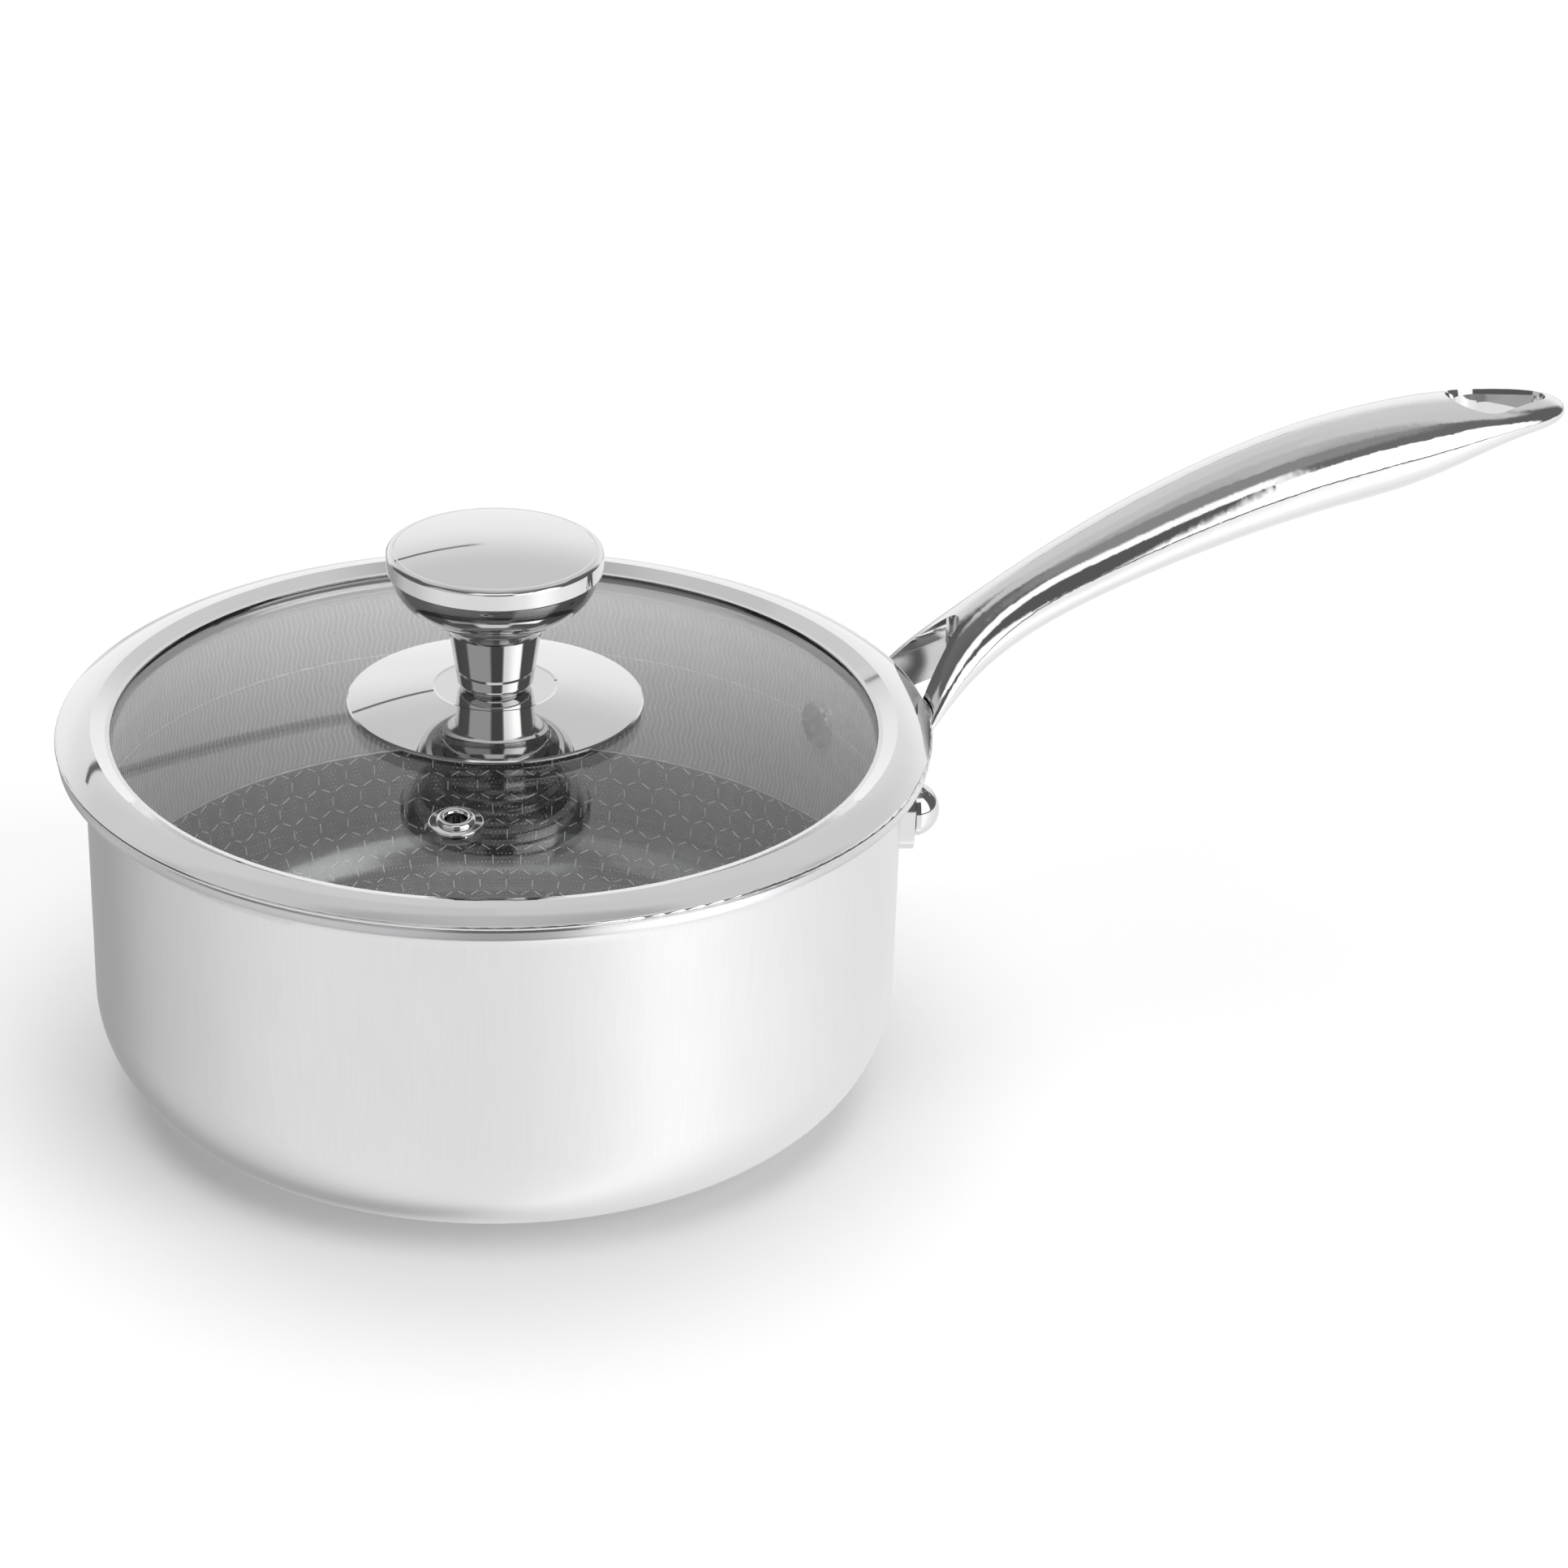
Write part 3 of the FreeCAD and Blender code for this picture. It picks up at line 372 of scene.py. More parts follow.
@dataclass(frozen=True)
class ClearGlass(Finish):
    """Tempered glass with faint wipe marks and a slight pull in its surface."""

    tint: tuple[float, float, float] = (0.97, 0.985, 0.98)
    bend: float = 1.46
    smudge_scale: float = 34.0
    smudge_rough: float = 0.006
    pull_scale: float = 16.0
    pull_deep: float = 0.00004

    def paint(self, board: NodeBoard, shader: bpy.types.Node, place: bpy.types.NodeSocket) -> None:
        """Clears the shader and lays the wipe marks on it."""
        shader.inputs["Transmission Weight"].default_value = 1.0
        shader.inputs["IOR"].default_value = self.bend
        shader.inputs["Base Color"].default_value = (*self.tint, 1.0)
        smudge = board.noise(place, self.smudge_scale, detail=4.0)
        board.feed(shader.inputs["Roughness"],
                   board.spread(smudge, 0.0, self.smudge_rough, start=0.55, end=0.8, smooth=True))
        self.relief(board, shader, board.noise(place, self.pull_scale, detail=0.0), self.pull_deep)


@dataclass(frozen=True)
class Rubber(Finish):
    """Matt moulded silicone with a fine flow texture and a dusting of lint."""

    colour: tuple[float, float, float] = (0.02, 0.02, 0.021)
    dust: tuple[float, float, float] = (0.06, 0.06, 0.06)
    dust_scale: float = 420.0
    smooth: float = 0.55
    rough: float = 0.75
    flow_scale: float = 2400.0
    flow_deep: float = 0.00002

    def paint(self, board: NodeBoard, shader: bpy.types.Node, place: bpy.types.NodeSocket) -> None:
        """Dusts the rubber and textures it."""
        dusting = board.noise(place, self.dust_scale, detail=4.0)
        settled = board.spread(dusting, 0.0, 1.0, start=0.55, end=0.8)
        board.feed(shader.inputs["Base Color"], board.mix(settled, self.colour, self.dust))
        board.feed(shader.inputs["Roughness"], board.spread(dusting, self.smooth, self.rough))
        self.relief(board, shader, board.noise(place, self.flow_scale, detail=2.0), self.flow_deep)


@dataclass(frozen=True)
class PanInside:
    """The inner surface that the pattern follows: a flat floor, a round corner and a nearly upright wall."""

    floor_high: float
    floor_radius: float
    corner_radius: float
    wall_lean: float
    pattern_top: float = BORDER_HIGH
    zigzag_top: float = 84.5 * MM
    corner_turn: ClassVar[float] = 26.7 * MM
    wall_tall: ClassVar[float] = 56.6 * MM
    wall_top_from: ClassVar[float] = 84.0 * MM
    wall_top_to: ClassVar[float] = 86.2 * MM
    wall_least: ClassVar[float] = 96.0 * MM
    near: ClassVar[float] = 0.01 * MM

    @classmethod
    def from_frame(cls) -> "PanInside":
        """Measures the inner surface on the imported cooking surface.

        Returns:
            The inside that the frame holds.
        """
        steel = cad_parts["pan_cooking_surface"].data
        points = [vertex.co for vertex in steel.vertices]
        lowest = min(point.z for point in points)
        reach = [(math.hypot(point.x, point.y), point.z) for point in points]
        floor_radius = max(radius for radius, high in reach if high < lowest + cls.near)
        floor_high = max(high for radius, high in reach if radius < floor_radius + cls.near)
        wall_top = min(radius for radius, high in reach
                       if cls.wall_top_from < high < cls.wall_top_to and radius > cls.wall_least)
        lean = wall_top - floor_radius - cls.corner_turn
        log.info("inside: floor %.4f, flat to %.4f", floor_high, floor_radius)
        return cls(floor_high, floor_radius, cls.corner_turn, lean / cls.wall_tall)

    @property
    def corner_run(self) -> float:
        """Returns the length of the corner's quarter turn."""
        return self.corner_radius * math.pi / 2

    @property
    def wall_radius(self) -> float:
        """Returns the inner radius where the corner becomes the wall."""
        return self.floor_radius + self.corner_radius

    def run_at(self, high: float) -> float:
        """Returns the way up the surface, from the floor's edge, to a height on the wall."""
        return self.corner_run + high - self.floor_high - self.corner_radius


class MeshMaker:
    """Collects closed solids and turns them into one mesh."""

    def __init__(self) -> None:
        """Starts with nothing."""
        self.points: list[tuple[float, float, float]] = []
        self.faces: list[tuple[int, ...]] = []

    def loft(self, rings: Sequence[Sequence[tuple[float, float, float]]]) -> None:
        """Adds a closed solid through rings of points.

        Args:
            rings: rings with the same number of points, each turning to the left as seen from the last.
        """
        start = len(self.points)
        size = len(rings[0])
        for ring in rings:
            self.points.extend(ring)
        self.faces.append(tuple(start + index for index in reversed(range(size))))
        for row in range(len(rings) - 1):
            for index in range(size):
                after = (index + 1) % size
                low, high = start + row * size, start + (row + 1) * size
                self.faces.append((low + index, low + after, high + after, high + index))
        last = start + (len(rings) - 1) * size
        self.faces.append(tuple(last + index for index in range(size)))

    def stud(self, x: float, y: float, radius: float, high: float, corners: int = 4) -> None:
        """Adds a low pointed stud that stands on the surface.

        Args:
            x: place across the tile.
            y: place up the tile.
            radius: from the middle to a corner.
            high: height of the point.
            corners: how many corners the foot has.
        """
        start = len(self.points)
        for index in range(corners):
            turn = 2 * math.pi * index / corners
            self.points.append((x + radius * math.cos(turn), y + radius * math.sin(turn), 0.0))
        self.points.append((x, y, high))
        self.faces.append(tuple(start + index for index in reversed(range(corners))))
        for index in range(corners):
            self.faces.append((start + index, start + (index + 1) % corners, start + corners))

    def build(self, name: str) -> bpy.types.Mesh:
        """Returns the collected solids as one mesh."""
        mesh = bpy.data.meshes.new(name)
        mesh.from_pydata(self.points, [], self.faces)
        mesh.update()
        return mesh


@dataclass(frozen=True)
class Tile(ABC):
    """One repeat of a raised pattern, drawn flat: x goes round the pan, y up its wall, z off the surface."""

    wide: float
    tall: float
    high: float = 0.10 * MM

    @abstractmethod
    def mesh(self) -> bpy.types.Mesh:
        """Draws the repeat.

        Returns:
            A mesh of closed solids that stand on z = 0.
        """


@dataclass(frozen=True)
class DashTile(Tile):
    """Two honeycomb cells whose sides are short dashes with open corners."""

    dash_share: float = 0.58
    dash_wide: float = 0.34 * MM
    top_share: float = 0.6
    end_slope: float = 0.25

    def sides(self) -> list[tuple[Vector, Vector]]:
        """Returns both ends of the six cell sides that one repeat holds."""
        side = self.tall / 3
        half = self.wide / 2
        corners = [
            ((0, 0), (0, side)),
            ((0, side), (half, 1.5 * side)),
            ((half, 1.5 * side), (self.wide, side)),
            ((half, 1.5 * side), (half, 2.5 * side)),
            ((half, 2.5 * side), (0, self.tall)),
            ((half, 2.5 * side), (self.wide, self.tall)),
        ]
        return [(Vector(start), Vector(end)) for start, end in corners]

    def dashes(self) -> list[tuple[Vector, Vector]]:
        """Returns both ends of the six dashes."""
        spare = (1 - self.dash_share) / 2
        return [(start.lerp(end, spare), start.lerp(end, 1 - spare)) for start, end in self.sides()]

    def mesh(self) -> bpy.types.Mesh:
        """Draws each dash as a bar with sloped flanks."""
        maker = MeshMaker()
        for start, end in self.dashes():
            along = (end - start).normalized()
            foot = Vector((-along.y, along.x)) * self.dash_wide / 2
            top = foot * self.top_share
            rings = []
            for point, slope in ((start, along), (end, -along)):
                inner = point + slope * self.dash_wide * self.end_slope
                rings.append([
                    (point.x - foot.x, point.y - foot.y, 0.0),
                    (point.x + foot.x, point.y + foot.y, 0.0),
                    (inner.x + top.x, inner.y + top.y, self.high),
                    (inner.x - top.x, inner.y - top.y, self.high),
                ])
            maker.loft(rings)
        return maker.build("dash_tile")


@dataclass(frozen=True)
class StudTile(Tile):
    """Rows of tiny studs that fill the honeycomb cells and stay off their dashes."""

    across: int = 7
    rows: int = 12
    radius: float = 0.24 * MM
    clear: float = 0.5 * MM

    def mesh(self) -> bpy.types.Mesh:
        """Draws every stud that stands clear of the dashes."""
        maker = MeshMaker()
        dashes = DashTile(self.wide, self.tall).dashes()
        for row in range(self.rows):
            for column in range(self.across):
                spot = Vector(((column + 0.5 * (row % 2) + 0.25) * self.wide / self.across,
                               (row + 0.5) * self.tall / self.rows))
                if self.off_dashes(spot, dashes):
                    maker.stud(spot.x, spot.y, self.radius, self.high)
        return maker.build("stud_tile")

    def off_dashes(self, spot: Vector, dashes: Iterable[tuple[Vector, Vector]]) -> bool:
        """Returns whether a spot is clear of all dashes, and of their repeats to the left and right."""
        for start, end in dashes:
            for shift in (-self.wide, 0.0, self.wide):
                moved = spot + Vector((shift, 0.0))
                run = end - start
                share = max(0.0, min(1.0, (moved - start).dot(run) / run.length_squared))
                if (moved - start - run * share).length < self.clear:
                    return False
        return True


@dataclass(frozen=True)
class ZigzagTile(Tile):
    """One full step of an upright zigzag ridge."""

    swing: float = 0.9 * MM
    ridge_wide: float = 0.42 * MM
    top_share: float = 0.7

    def mesh(self) -> bpy.types.Mesh:
        """Draws the ridge with a flat top."""
        maker = MeshMaker()
        half = self.ridge_wide / 2
        rings = []
        for share, side in ((0.0, -0.5), (0.5, 0.5), (1.0, -0.5)):
            middle = self.wide / 2 + side * self.swing
            up = share * self.tall
            top = half * self.top_share
            rings.append([(middle + half, up, 0.0), (middle - half, up, 0.0),
                          (middle - top, up, self.high), (middle + top, up, self.high)])
        maker.loft(rings)
        return maker.build("zigzag_tile")


@dataclass(frozen=True)
class BeadTile(Tile):
    """A short run of the plain bead that borders the pattern."""

    def mesh(self) -> bpy.types.Mesh:
        """Draws the bead from one side of the tile to the other."""
        maker = MeshMaker()
        rings = []
        for x in (0.0, self.wide):
            rings.append([(x, 0.0, 0.0), (x, self.tall, 0.0), (x, self.tall / 2, self.high)])
        maker.loft(rings)
        return maker.build("bead_tile")


class PatternTree:
    """A geometry tree that repeats a tile and lays it on the inside of the pan."""

    def __init__(self, name: str) -> None:
        """Makes the tree with the inputs that all layings share."""
        self.tree = bpy.data.node_groups.new(name, "GeometryNodeTree")
        self.board = NodeBoard(self.tree)
        self.new_socket("Tile", "NodeSocketGeometry")
        for label in ("Tile Width", "Tile Height", "Start", "Floor Height", "Floor Radius",
                      "Corner Radius", "Wall Lean"):
            self.new_socket(label, "NodeSocketFloat")
        for label in ("Columns", "Rows"):
            self.new_socket(label, "NodeSocketInt")
        self.new_socket("Finish", "NodeSocketMaterial")
        self.tree.interface.new_socket("Pattern", in_out="OUTPUT", socket_type="NodeSocketGeometry")
        self.inputs = self.board.add("NodeGroupInput").outputs

    def new_socket(self, label: str, kind: str) -> None:
        """Adds one named input to the tree."""
        self.tree.interface.new_socket(label, in_out="INPUT", socket_type=kind)

    def repeated(self, centred: bool) -> bpy.types.NodeSocket:
        """Repeats the tile over a flat grid.

        Args:
            centred: puts the grid's middle at the origin, instead of its lower left corner.

        Returns:
            The repeats as one mesh.
        """
        board, inputs = self.board, self.inputs
        wide, tall = (board.maths("MULTIPLY", board.maths("SUBTRACT", inputs[count], 1.0), inputs[size])
                      for count, size in (("Columns", "Tile Width"), ("Rows", "Tile Height")))
        grid = board.add("GeometryNodeMeshGrid", {
            "Size X": wide, "Size Y": tall, "Vertices X": inputs["Columns"], "Vertices Y": inputs["Rows"]})
        points = grid.outputs[0]
        if not centred:
            shift = board.add("ShaderNodeCombineXYZ", {
                0: board.maths("MULTIPLY", wide, 0.5),
                1: board.maths("ADD", board.maths("MULTIPLY", tall, 0.5), inputs["Start"])}).outputs[0]
            points = board.add("GeometryNodeSetPosition", {"Geometry": points, "Offset": shift}).outputs[0]
        copies = board.add("GeometryNodeInstanceOnPoints", {"Points": points, "Instance": inputs["Tile"]})
        return board.add("GeometryNodeRealizeInstances", {0: copies.outputs[0]}).outputs[0]

    def finish(self, pattern: bpy.types.NodeSocket) -> bpy.types.NodeTree:
        """Gives the pattern its finish and ends the tree.

        Args:
            pattern: the laid pattern.

        Returns:
            The finished tree.
        """
        board = self.board
        plain = board.add("GeometryNodeRealizeInstances", {0: pattern}).outputs[0]
        dressed = board.add("GeometryNodeSetMaterial", {"Geometry": plain, "Material": self.inputs["Finish"]})
        board.add("NodeGroupOutput", {0: dressed.outputs[0]})
        return self.tree


class WallTree(PatternTree):
    """Wraps the repeats round the corner and the wall."""

    def build(self) -> bpy.types.NodeTree:
        """Bends the flat pattern: x becomes an angle, y a way up the surface, z a height off it.

        Returns:
            The finished tree.
        """
        board, inputs = self.board, self.inputs
        flat = self.repeated(centred=False)
        place = board.add("ShaderNodeSeparateXYZ", {0: board.add("GeometryNodeInputPosition").outputs[0]})
        round_run, up_run, off = place.outputs
        corner = inputs["Corner Radius"]
        reach = board.maths("ADD", inputs["Floor Radius"], corner)
        turn = board.maths("MULTIPLY", board.maths("DIVIDE", round_run, reach), -1.0)
        bend = board.maths("MINIMUM", board.maths("DIVIDE", up_run, corner), math.pi / 2)
        rise = board.maths("MAXIMUM", board.maths("SUBTRACT", up_run,
                                                  board.maths("MULTIPLY", corner, math.pi / 2)), 0.0)
        depth = board.maths("SUBTRACT", corner, off)
        radius = board.maths("ADD", board.maths("ADD", inputs["Floor Radius"],
                                                board.maths("MULTIPLY", depth, board.maths("SINE", bend))),
                             board.maths("MULTIPLY", rise, inputs["Wall Lean"]))
        centre_high = board.maths("ADD", inputs["Floor Height"], corner)
        high = board.maths("ADD", board.maths("SUBTRACT", centre_high,
                                              board.maths("MULTIPLY", depth, board.maths("COSINE", bend))),
                           rise)
        bent = board.add("ShaderNodeCombineXYZ", {
            0: board.maths("MULTIPLY", radius, board.maths("COSINE", turn)),
            1: board.maths("MULTIPLY", radius, board.maths("SINE", turn)),
            2: high}).outputs[0]
        laid = board.add("GeometryNodeSetPosition", {"Geometry": flat, "Position": bent})
        return self.finish(laid.outputs[0])


class FloorTree(PatternTree):
    """Lays the repeats on the flat floor and drops what would run past its edge."""

    def build(self) -> bpy.types.NodeTree:
        """Keeps each dash or stud whose middle lies on the floor.

        Returns:
            The finished tree.
        """
        board, inputs = self.board, self.inputs
        flat = self.repeated(centred=True)
        place = board.add("GeometryNodeInputPosition").outputs[0]
        piece = board.add("GeometryNodeInputMeshIsland").outputs["Island Index"]
        places = self.total(place, piece, "FLOAT_VECTOR", "VECTOR")
        points = self.total(1.0, piece, "FLOAT", "VALUE")
        reach = board.maths("DIVIDE", board.reach(places), points)
        outside = board.maths("GREATER_THAN", reach, inputs["Floor Radius"])
        kept = board.add("GeometryNodeDeleteGeometry", {"Geometry": flat, "Selection": outside}).outputs[0]
        lift = board.add("ShaderNodeCombineXYZ", {2: inputs["Floor Height"]}).outputs[0]
        laid = board.add("GeometryNodeSetPosition", {"Geometry": kept, "Offset": lift})
        return self.finish(laid.outputs[0])

    def total(self, value: Value, piece: bpy.types.NodeSocket, data_type: str,
              kind: str) -> bpy.types.NodeSocket:
        """Adds up a value over the points of each dash or stud.

        Args:
            value: what each point adds.
            piece: the number of the dash or stud that a point belongs to.
            data_type: the kind of value, in the node's own words.
            kind: the same, in its sockets' words.

        Returns:
            The total of the point's own dash or stud.
        """
        adder = self.board.add("GeometryNodeAccumulateField", data_type=data_type)
        self.board.feed(next(s for s in adder.inputs if s.type == kind and s.enabled), value)
        self.board.feed(adder.inputs["Group ID"], piece)
        return next(s for s in adder.outputs if s.name == "Total" and s.enabled)


@dataclass
class CookingPattern:
    """The steel pattern that stands out of the dark coating: honeycomb dashes, studs and zigzag lines."""

    inside: PanInside
    finish: bpy.types.Material
    cells_round: int = 77
    cell_pairs_up: int = 4
    zigzags_round: int = 408
    zigzags_up: int = 6
    zigzag_gap: float = 1.0 * MM
    beads_round: int = 240
    bead_wide: float = 0.45 * MM
    stud_high: float = 0.045 * MM
    fill_line_high: float = 68.9 * MM

    def build(self) -> list[bpy.types.Object]:
        """Makes every part of the pattern.

        Returns:
            The pattern's pieces, riding on the pan.
        """
        wall, floor = WallTree("wall_pattern").build(), FloorTree("floor_pattern").build()
        girth = 2 * math.pi * self.inside.wall_radius
        cell_wide = girth / self.cells_round
        border = self.inside.run_at(self.inside.pattern_top)
        fill_line = self.inside.run_at(self.fill_line_high)
        cell_tall = border / self.cell_pairs_up
        zigzag_start = border + self.zigzag_gap
        zigzag_tall = (self.inside.run_at(self.inside.zigzag_top) - zigzag_start) / self.zigzags_up
        zigzag_wide = girth / self.zigzags_round
        dash, stud = DashTile(cell_wide, cell_tall), StudTile(cell_wide, cell_tall, self.stud_high)
        across_floor = 2 * math.ceil(self.inside.floor_radius / cell_wide) + 1
        up_floor = 2 * math.ceil(self.inside.floor_radius / cell_tall) + 1
        bead = BeadTile(girth / self.beads_round, self.bead_wide)
        return [
            self.lay("wall_dashes", wall, dash, self.cells_round, self.cell_pairs_up, 0.0),
            self.lay("wall_studs", wall, stud, self.cells_round, self.cell_pairs_up, 0.0),
            self.lay("wall_zigzags", wall, ZigzagTile(zigzag_wide, zigzag_tall),
                     self.zigzags_round, self.zigzags_up, zigzag_start),
            self.lay("border_bead", wall, bead, self.beads_round, 1, border),
            self.lay("fill_line_bead", wall, bead, self.beads_round, 1, fill_line),
            self.lay("floor_dashes", floor, dash, across_floor, up_floor, 0.0),
            self.lay("floor_studs", floor, stud, across_floor, up_floor, 0.0),
        ]

    def lay(self, name: str, tree: bpy.types.NodeTree, tile: Tile, columns: int, rows: int,
            start: float) -> bpy.types.Object:
        """Lays one tile over the surface and makes the result a plain mesh.

        Args:
            name: the new piece's name.
            tree: the tree that repeats and bends the tile.
            tile: what is repeated.
            columns: repeats round the pan.
            rows: repeats up the wall.
            start: the way up the surface to the first row.

        Returns:
            The piece, riding on the pan.
        """
        source = bpy.data.objects.new(name + "_source", tile.mesh())
        bpy.context.scene.collection.objects.link(source)
        modifier = source.modifiers.new("Pattern", "NODES")
        modifier.node_group = tree
        values = {
            "Tile Width": tile.wide, "Tile Height": tile.tall, "Columns": columns, "Rows": rows,
            "Start": start, "Floor Height": self.inside.floor_high,
            "Floor Radius": self.inside.floor_radius, "Corner Radius": self.inside.corner_radius,
            "Wall Lean": self.inside.wall_lean, "Finish": self.finish}
        for item in tree.interface.items_tree:
            if item.item_type == "SOCKET" and item.in_out == "INPUT" and item.name in values:
                modifier[item.identifier] = values[item.name]
        seen = source.evaluated_get(bpy.context.evaluated_depsgraph_get())
        mesh = bpy.data.meshes.new_from_object(seen)
        mesh.name = name
        bpy.data.objects.remove(source)
        piece = bpy.data.objects.new(name, mesh)
        bpy.context.scene.collection.objects.link(piece)
        mesh.materials.clear()
        mesh.materials.append(self.finish)
        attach(piece, Body.PAN.value)
        log.info("%s: %d faces", name, len(mesh.polygons))
        return piece


@dataclass
class Dresser:
    """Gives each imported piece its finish."""

    finishes: dict[str, Finish]

    def dress(self) -> dict[str, bpy.types.Material]:
        """Builds each finish once and puts it on its pieces.

        Returns:
            Finish name to material.
        """
        built: dict[str, bpy.types.Material] = {}
        for node, finish in self.finishes.items():
            if finish.name not in built:
                built[finish.name] = finish.build()
            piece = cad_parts[node]
            for place in piece.material_slots:
                place.material = built[finish.name]
            if not piece.material_slots:
                piece.data.materials.append(built[finish.name])
            log.info("%s: %s", node, finish.name)
        return built


@dataclass(frozen=True)
class DarkSeam:
    """A thin dark seam between two lit panels, seen only where polished metal or glass mirrors it."""

    first: tuple[float, float]
    last: tuple[float, float]
    half_wide: float = 0.22
    soft: float = 0.25
    left_in: float = 0.15
    end_soft: float = 0.004

    @staticmethod
    def direction(azimuth: float, elevation: float) -> Vector:
        """Returns the direction at an azimuth and an elevation in degrees."""
        turn, lift = math.radians(azimuth), math.radians(elevation)
        return Vector((math.cos(turn) * math.cos(lift), math.sin(turn) * math.cos(lift), math.sin(lift)))

    def shade(self, board: NodeBoard, way: bpy.types.NodeSocket) -> bpy.types.NodeSocket:
        """Returns how much light the seam leaves.

        Args:
            board: the studio's nodes.
            way: the direction that is looked in.

        Returns:
            1 away from the seam, and nearly 0 on it.
        """
        first, last = self.direction(*self.first), self.direction(*self.last)
        across = first.cross(last).normalized()
        middle = (first + last).normalized()
        reach = middle.dot(first)
        off = board.maths("ABSOLUTE", board.vector("DOT_PRODUCT", way, tuple(across)).outputs["Value"])
        inner, outer = math.radians(self.half_wide), math.radians(self.half_wide + self.soft)
        line = board.spread(off, self.left_in, 1.0, start=inner, end=outer, smooth=True)
        along = board.vector("DOT_PRODUCT", way, tuple(middle)).outputs["Value"]
        past = board.spread(along, 1.0, 0.0, start=reach - self.end_soft, end=reach + self.end_soft,
                            smooth=True)
        return board.maths("MAXIMUM", line, past)


@dataclass(frozen=True)
class PanelRow:
    """One row of panels round the studio, from one height above the horizon up to the next row."""

    foot: float
    soft: float
    levels: tuple[tuple[float, float], ...]
    ramp_most: ClassVar[float] = 2.0

    def light(self, board: NodeBoard, turn: bpy.types.NodeSocket) -> bpy.types.NodeSocket:
        """Returns the row's brightness all the way round.

        Args:
            board: the studio's nodes.
            turn: 0 to 1 round the studio, with the viewer's side at a half.

        Returns:
            The brightness at that turn.
        """
        ramp = board.add("ShaderNodeValToRGB", {0: turn})
        ramp.color_ramp.interpolation = "EASE"
        stops = ramp.color_ramp.elements
        for index, (azimuth, level) in enumerate(self.levels):
            at = (azimuth + 180) / 360
            share = level / self.ramp_most
            stop = stops[index] if index < 2 else stops.new(at)
            stop.position = at
            stop.color = (share, share, share, 1.0)
        return board.maths("MULTIPLY", ramp.outputs[0], self.ramp_most)


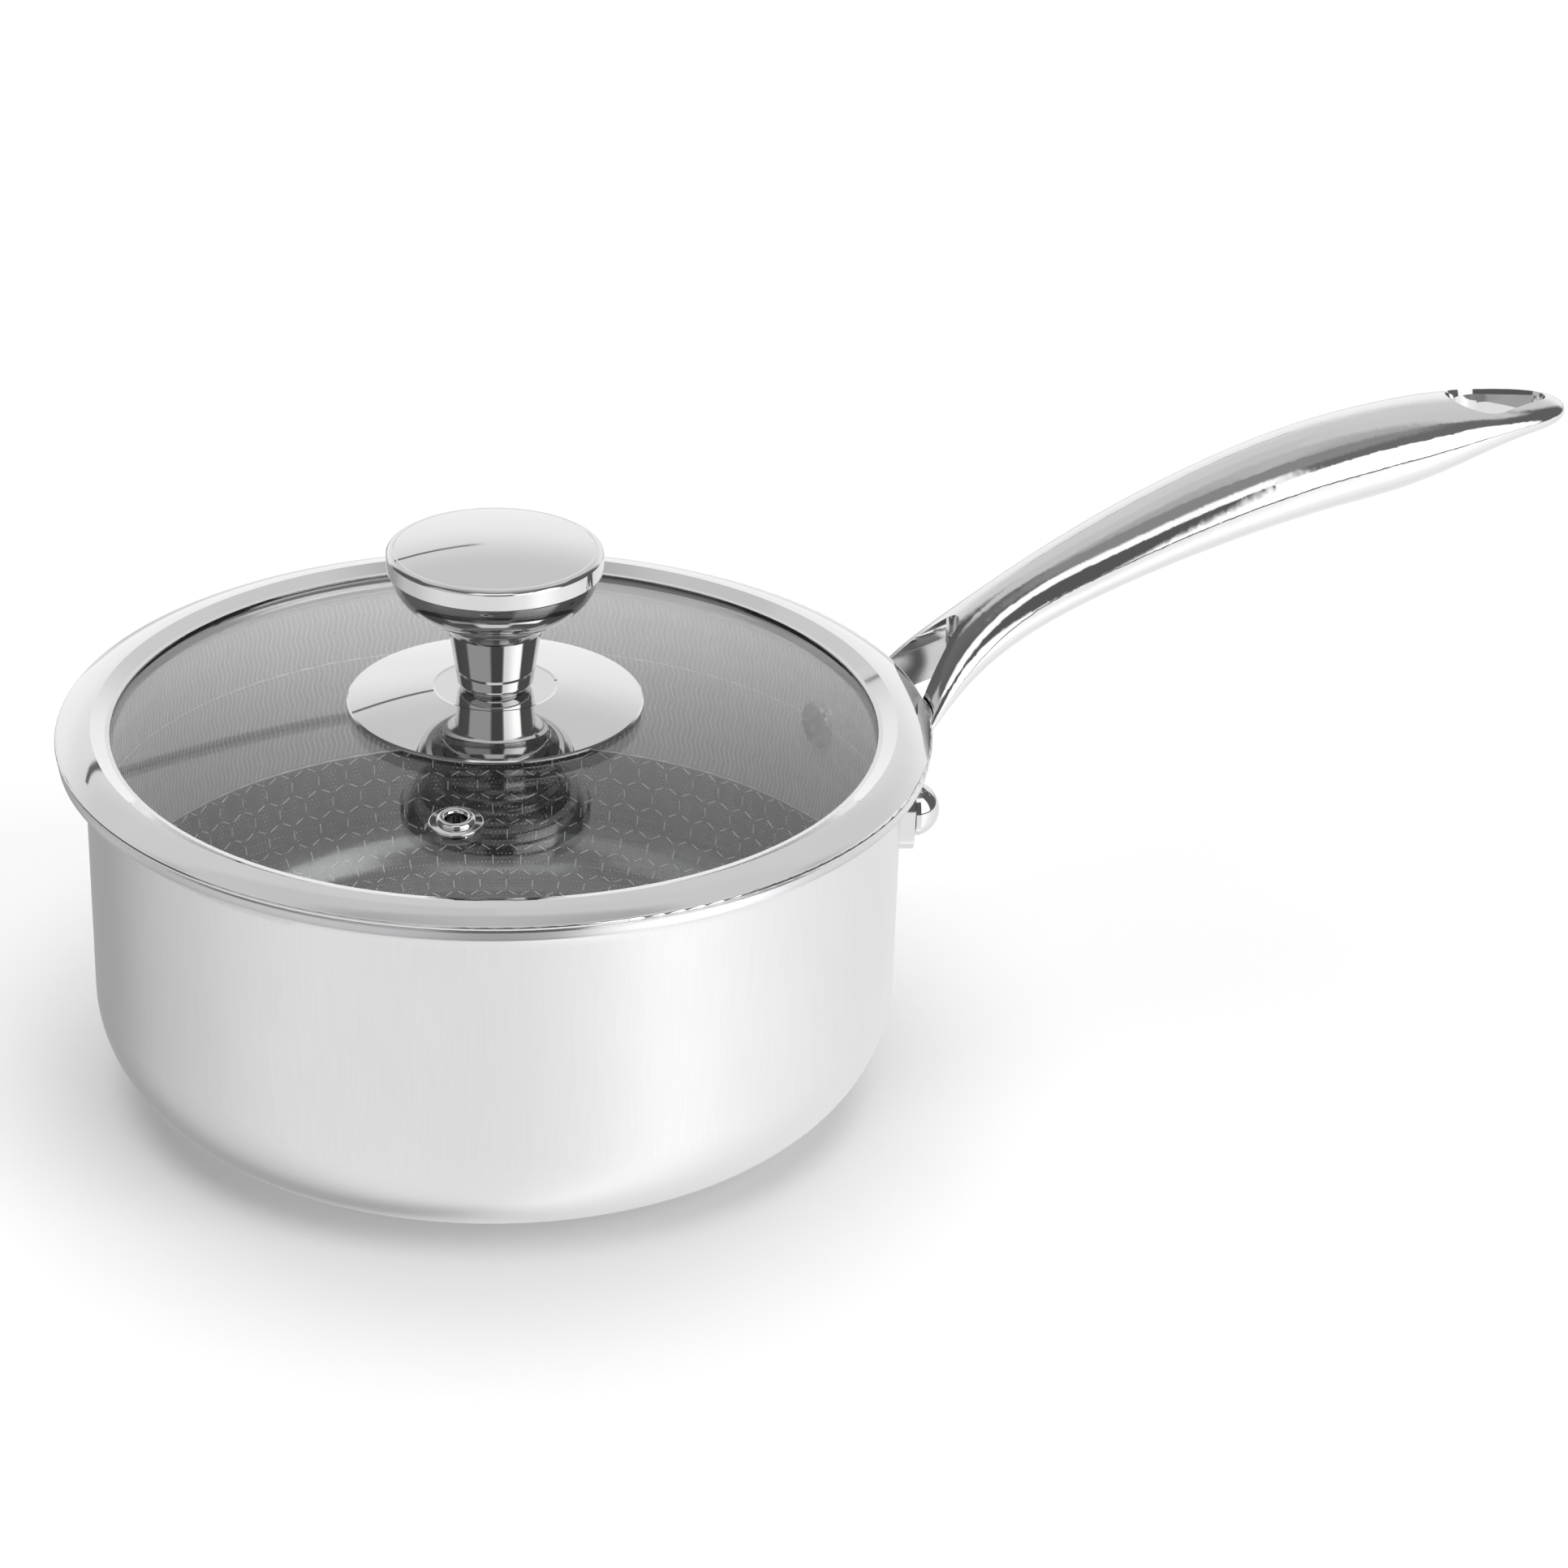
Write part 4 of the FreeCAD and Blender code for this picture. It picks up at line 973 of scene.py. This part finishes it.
@dataclass
class Studio:
    """A pale floor inside rows of soft white panels, with a dark seam where two of them meet."""

    floor_size: float = 6.0
    floor_low: float = -0.1 * MM
    floor_colour: tuple[float, float, float] = (0.93, 0.93, 0.93)
    floor_rough: float = 0.9
    floor_gloss: float = 0.1
    strength: float = 1.4
    top_size: float = 3.0
    top_power: float = 42.0
    top_high: float = 2.6
    viewer_side: float = -108.0
    rows: tuple[PanelRow, ...] = (
        PanelRow(-90.0, 0.0, (
            (-180, 0.70), (-162, 0.36), (-140, 0.32), (-105, 0.58), (-55, 0.82), (0, 0.80), (28, 0.90),
            (50, 1.15), (80, 0.94), (120, 0.82), (155, 0.78), (180, 0.70))),
        PanelRow(-5.0, 2.0, (
            (-180, 0.7), (-110, 0.12), (0, 0.15), (60, 0.2), (110, 0.12), (180, 0.7))),
        PanelRow(0.0, 2.0, (
            (-180, 0.88), (-140, 0.85), (-125, 0.10), (-84, 0.12), (-74, 0.50), (-18, 0.50), (-8, 0.10),
            (19, 0.10), (27, 1.3), (62, 1.9), (72, 1.9), (80, 0.12), (126, 0.12), (140, 0.88),
            (180, 0.88))),
        PanelRow(26.0, 20.0, (
            (-180, 0.64), (-140, 0.64), (-125, 0.10), (-84, 0.12), (-74, 0.50), (-18, 0.50), (-8, 0.10),
            (19, 0.10), (27, 1.2), (62, 1.9), (72, 1.9), (80, 0.12), (126, 0.12), (140, 0.64),
            (180, 0.64))),
        PanelRow(50.0, 5.0, (
            (-180, 0.58), (-118, 0.58), (-105, 0.15), (-40, 0.12), (-28, 1.1), (22, 1.1), (34, 0.15),
            (105, 0.15), (118, 0.62), (180, 0.62))),
        PanelRow(67.0, 8.0, (
            (-180, 0.50), (-125, 0.42), (-95, 0.26), (95, 0.26), (125, 0.42), (180, 0.50))),
    )
    seam: DarkSeam = DarkSeam((96.0, 29.4), (74.0, 25.6))

    def build(self) -> None:
        """Makes the floor, the lights, the panels and the colour handling."""
        self.lay_floor()
        self.hang_top_light()
        self.hang_panels()
        self.light_through_glass()
        bpy.context.scene.view_settings.view_transform = "Standard"
        bpy.context.scene.view_settings.look = "None"

    def lay_floor(self) -> None:
        """Makes the pale floor that the pan stands on. Polished metal mirrors the panels' own floor row."""
        half = self.floor_size / 2
        mesh = bpy.data.meshes.new("floor")
        corners = ((-half, -half), (half, -half), (half, half), (-half, half))
        mesh.from_pydata([(x, y, self.floor_low) for x, y in corners], [], [(0, 1, 2, 3)])
        floor = bpy.data.objects.new("floor", mesh)
        bpy.context.scene.collection.objects.link(floor)
        floor.visible_glossy = False
        material = bpy.data.materials.new("pale_floor")
        material.use_nodes = True
        shader = material.node_tree.nodes["Principled BSDF"]
        shader.inputs["Base Color"].default_value = (*self.floor_colour, 1.0)
        shader.inputs["Roughness"].default_value = self.floor_rough
        shader.inputs["Specular IOR Level"].default_value = self.floor_gloss
        mesh.materials.append(material)

    def hang_top_light(self) -> None:
        """Hangs a wide soft light over the floor, out of what polished metal mirrors."""
        data = bpy.data.lights.new("top_light", "AREA")
        data.shape = "DISK"
        data.size = self.top_size
        data.energy = self.top_power
        light = bpy.data.objects.new("top_light", data)
        light.location = (0.0, 0.0, self.top_high)
        light.visible_camera = False
        light.visible_glossy = False
        light.visible_transmission = False
        bpy.context.scene.collection.objects.link(light)

    def hang_panels(self) -> None:
        """Lights the studio from all round, one row of panels above the other."""
        world = bpy.data.worlds.new("studio")
        bpy.context.scene.world = world
        world.use_nodes = True
        board = NodeBoard(world.node_tree)
        way = board.add("ShaderNodeTexCoord").outputs["Generated"]
        turned = board.add("ShaderNodeVectorRotate", {
            "Vector": way, "Angle": math.radians(-self.viewer_side)}, rotation_type="Z_AXIS").outputs[0]
        parts = board.add("ShaderNodeSeparateXYZ", {0: turned}).outputs
        turn = board.spread(board.maths("ARCTAN2", parts[1], parts[0]), 0.0, 1.0, start=-math.pi, end=math.pi)
        lift = board.maths("MULTIPLY", board.maths("ARCSINE", parts[2]), 180 / math.pi)
        light = self.rows[0].light(board, turn)
        for row in self.rows[1:]:
            share = board.spread(lift, 0.0, 1.0, start=row.foot - row.soft / 2,
                                 end=row.foot + row.soft / 2, smooth=True)
            inputs = {0: share, 2: light, 3: row.light(board, turn)}
            light = board.add("ShaderNodeMix", inputs, data_type="FLOAT").outputs[0]
        light = board.maths("MULTIPLY", light, self.seam.shade(board, way))
        background = world.node_tree.nodes["Background"]
        board.feed(background.inputs[0], light)
        background.inputs[1].default_value = self.strength

    @staticmethod
    def light_through_glass() -> None:
        """Lets the lamps light the pan's inside as if the clear lid cast no shadow."""
        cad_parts["lid_glass"].visible_shadow = False


@dataclass
class StudioCamera:
    """A long lens that looks down on the pan from its front left."""

    place: tuple[float, float, float] = (-0.36774, -1.13178, 0.66118)
    turn: tuple[float, float, float] = (63.9532, -1.2291, -20.8165)
    lens: float = 123.48
    sensor: float = 36.0
    nearest: float = 0.01
    furthest: float = 20.0

    def build(self) -> None:
        """Sets the camera up and makes it the scene's own."""
        data = bpy.data.cameras.new("studio_camera")
        data.lens = self.lens
        data.sensor_width = self.sensor
        data.clip_start = self.nearest
        data.clip_end = self.furthest
        camera = bpy.data.objects.new("studio_camera", data)
        bpy.context.scene.collection.objects.link(camera)
        turned = Euler([math.radians(angle) for angle in self.turn]).to_matrix().to_4x4()
        camera.matrix_world = Matrix.Translation(self.place) @ turned
        bpy.context.scene.camera = camera


def finishes() -> dict[str, Finish]:
    """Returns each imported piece's finish."""
    cast = PolishedMetal("cast_polish", wave_scale=30.0, wave_deep=0.00010)
    sheet = PolishedMetal("sheet_polish", (0.64, 0.64, 0.635), (0.57, 0.57, 0.57), wave_scale=16.0,
                          wave_deep=0.00003)
    turned = PolishedMetal("turned_polish", (0.63, 0.63, 0.625), (0.58, 0.58, 0.58), wave_scale=14.0,
                           wave_deep=0.00002)
    washer = SatinMetal("turned_steel", grain=Grain.ROUND, grain_scale=3000.0, smooth=0.2, rough=0.35)
    return {
        "pan_outer_steel": SatinMetal("satin_steel"),
        "pan_aluminium_core": SatinMetal("aluminium", (0.82, 0.82, 0.84), (0.7, 0.7, 0.72), Grain.ROUND),
        "pan_cooking_surface": NonStick("non_stick"),
        "handle_casting": cast,
        "handle_rivets": turned,
        "lid_glass": ClearGlass("clear_glass"),
        "lid_rim_band": BlackFoldBand("band_polish", wave_scale=16.0, wave_deep=0.00003),
        "vent_eyelet": turned,
        "vent_washer": washer,
        "cover_disc": sheet,
        "disc_pad": Rubber("silicone"),
        "knob_neck": turned,
        "knob_bowl": turned,
        "knob_cap": turned,
        "knob_insert": SatinMetal("brass", (0.80, 0.62, 0.30), (0.62, 0.46, 0.20), Grain.ROUND),
        "underside_gasket": Rubber("silicone"),
        "underside_washer": washer,
        "lock_washer": washer,
        "knob_screw": washer,
    }


def pattern_finish() -> Finish:
    """Returns the finish of the steel pattern, which use has dulled."""
    return PolishedMetal("pattern_steel", light=(0.88, 0.88, 0.88), dark=(0.80, 0.80, 0.80),
                         smooth=0.30, worn=0.45, metal=0.35)


def plain(box: tuple[Vector, Vector]) -> list[list[float]]:
    """Returns a box's two corners as plain lists."""
    return [[round(value, 6) for value in corner] for corner in box]


def main() -> None:
    """Dresses the saucepan, lays its pattern and sets up the studio."""
    logging.basicConfig(level=logging.INFO, format="%(name)s: %(message)s")
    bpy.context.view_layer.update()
    Dresser(finishes()).dress()
    pieces = CookingPattern(PanInside.from_frame(), pattern_finish().build()).build()
    log.info("pattern: %d pieces", len(pieces))
    Studio().build()
    StudioCamera().build()


if __name__ == "__main__":
    main()
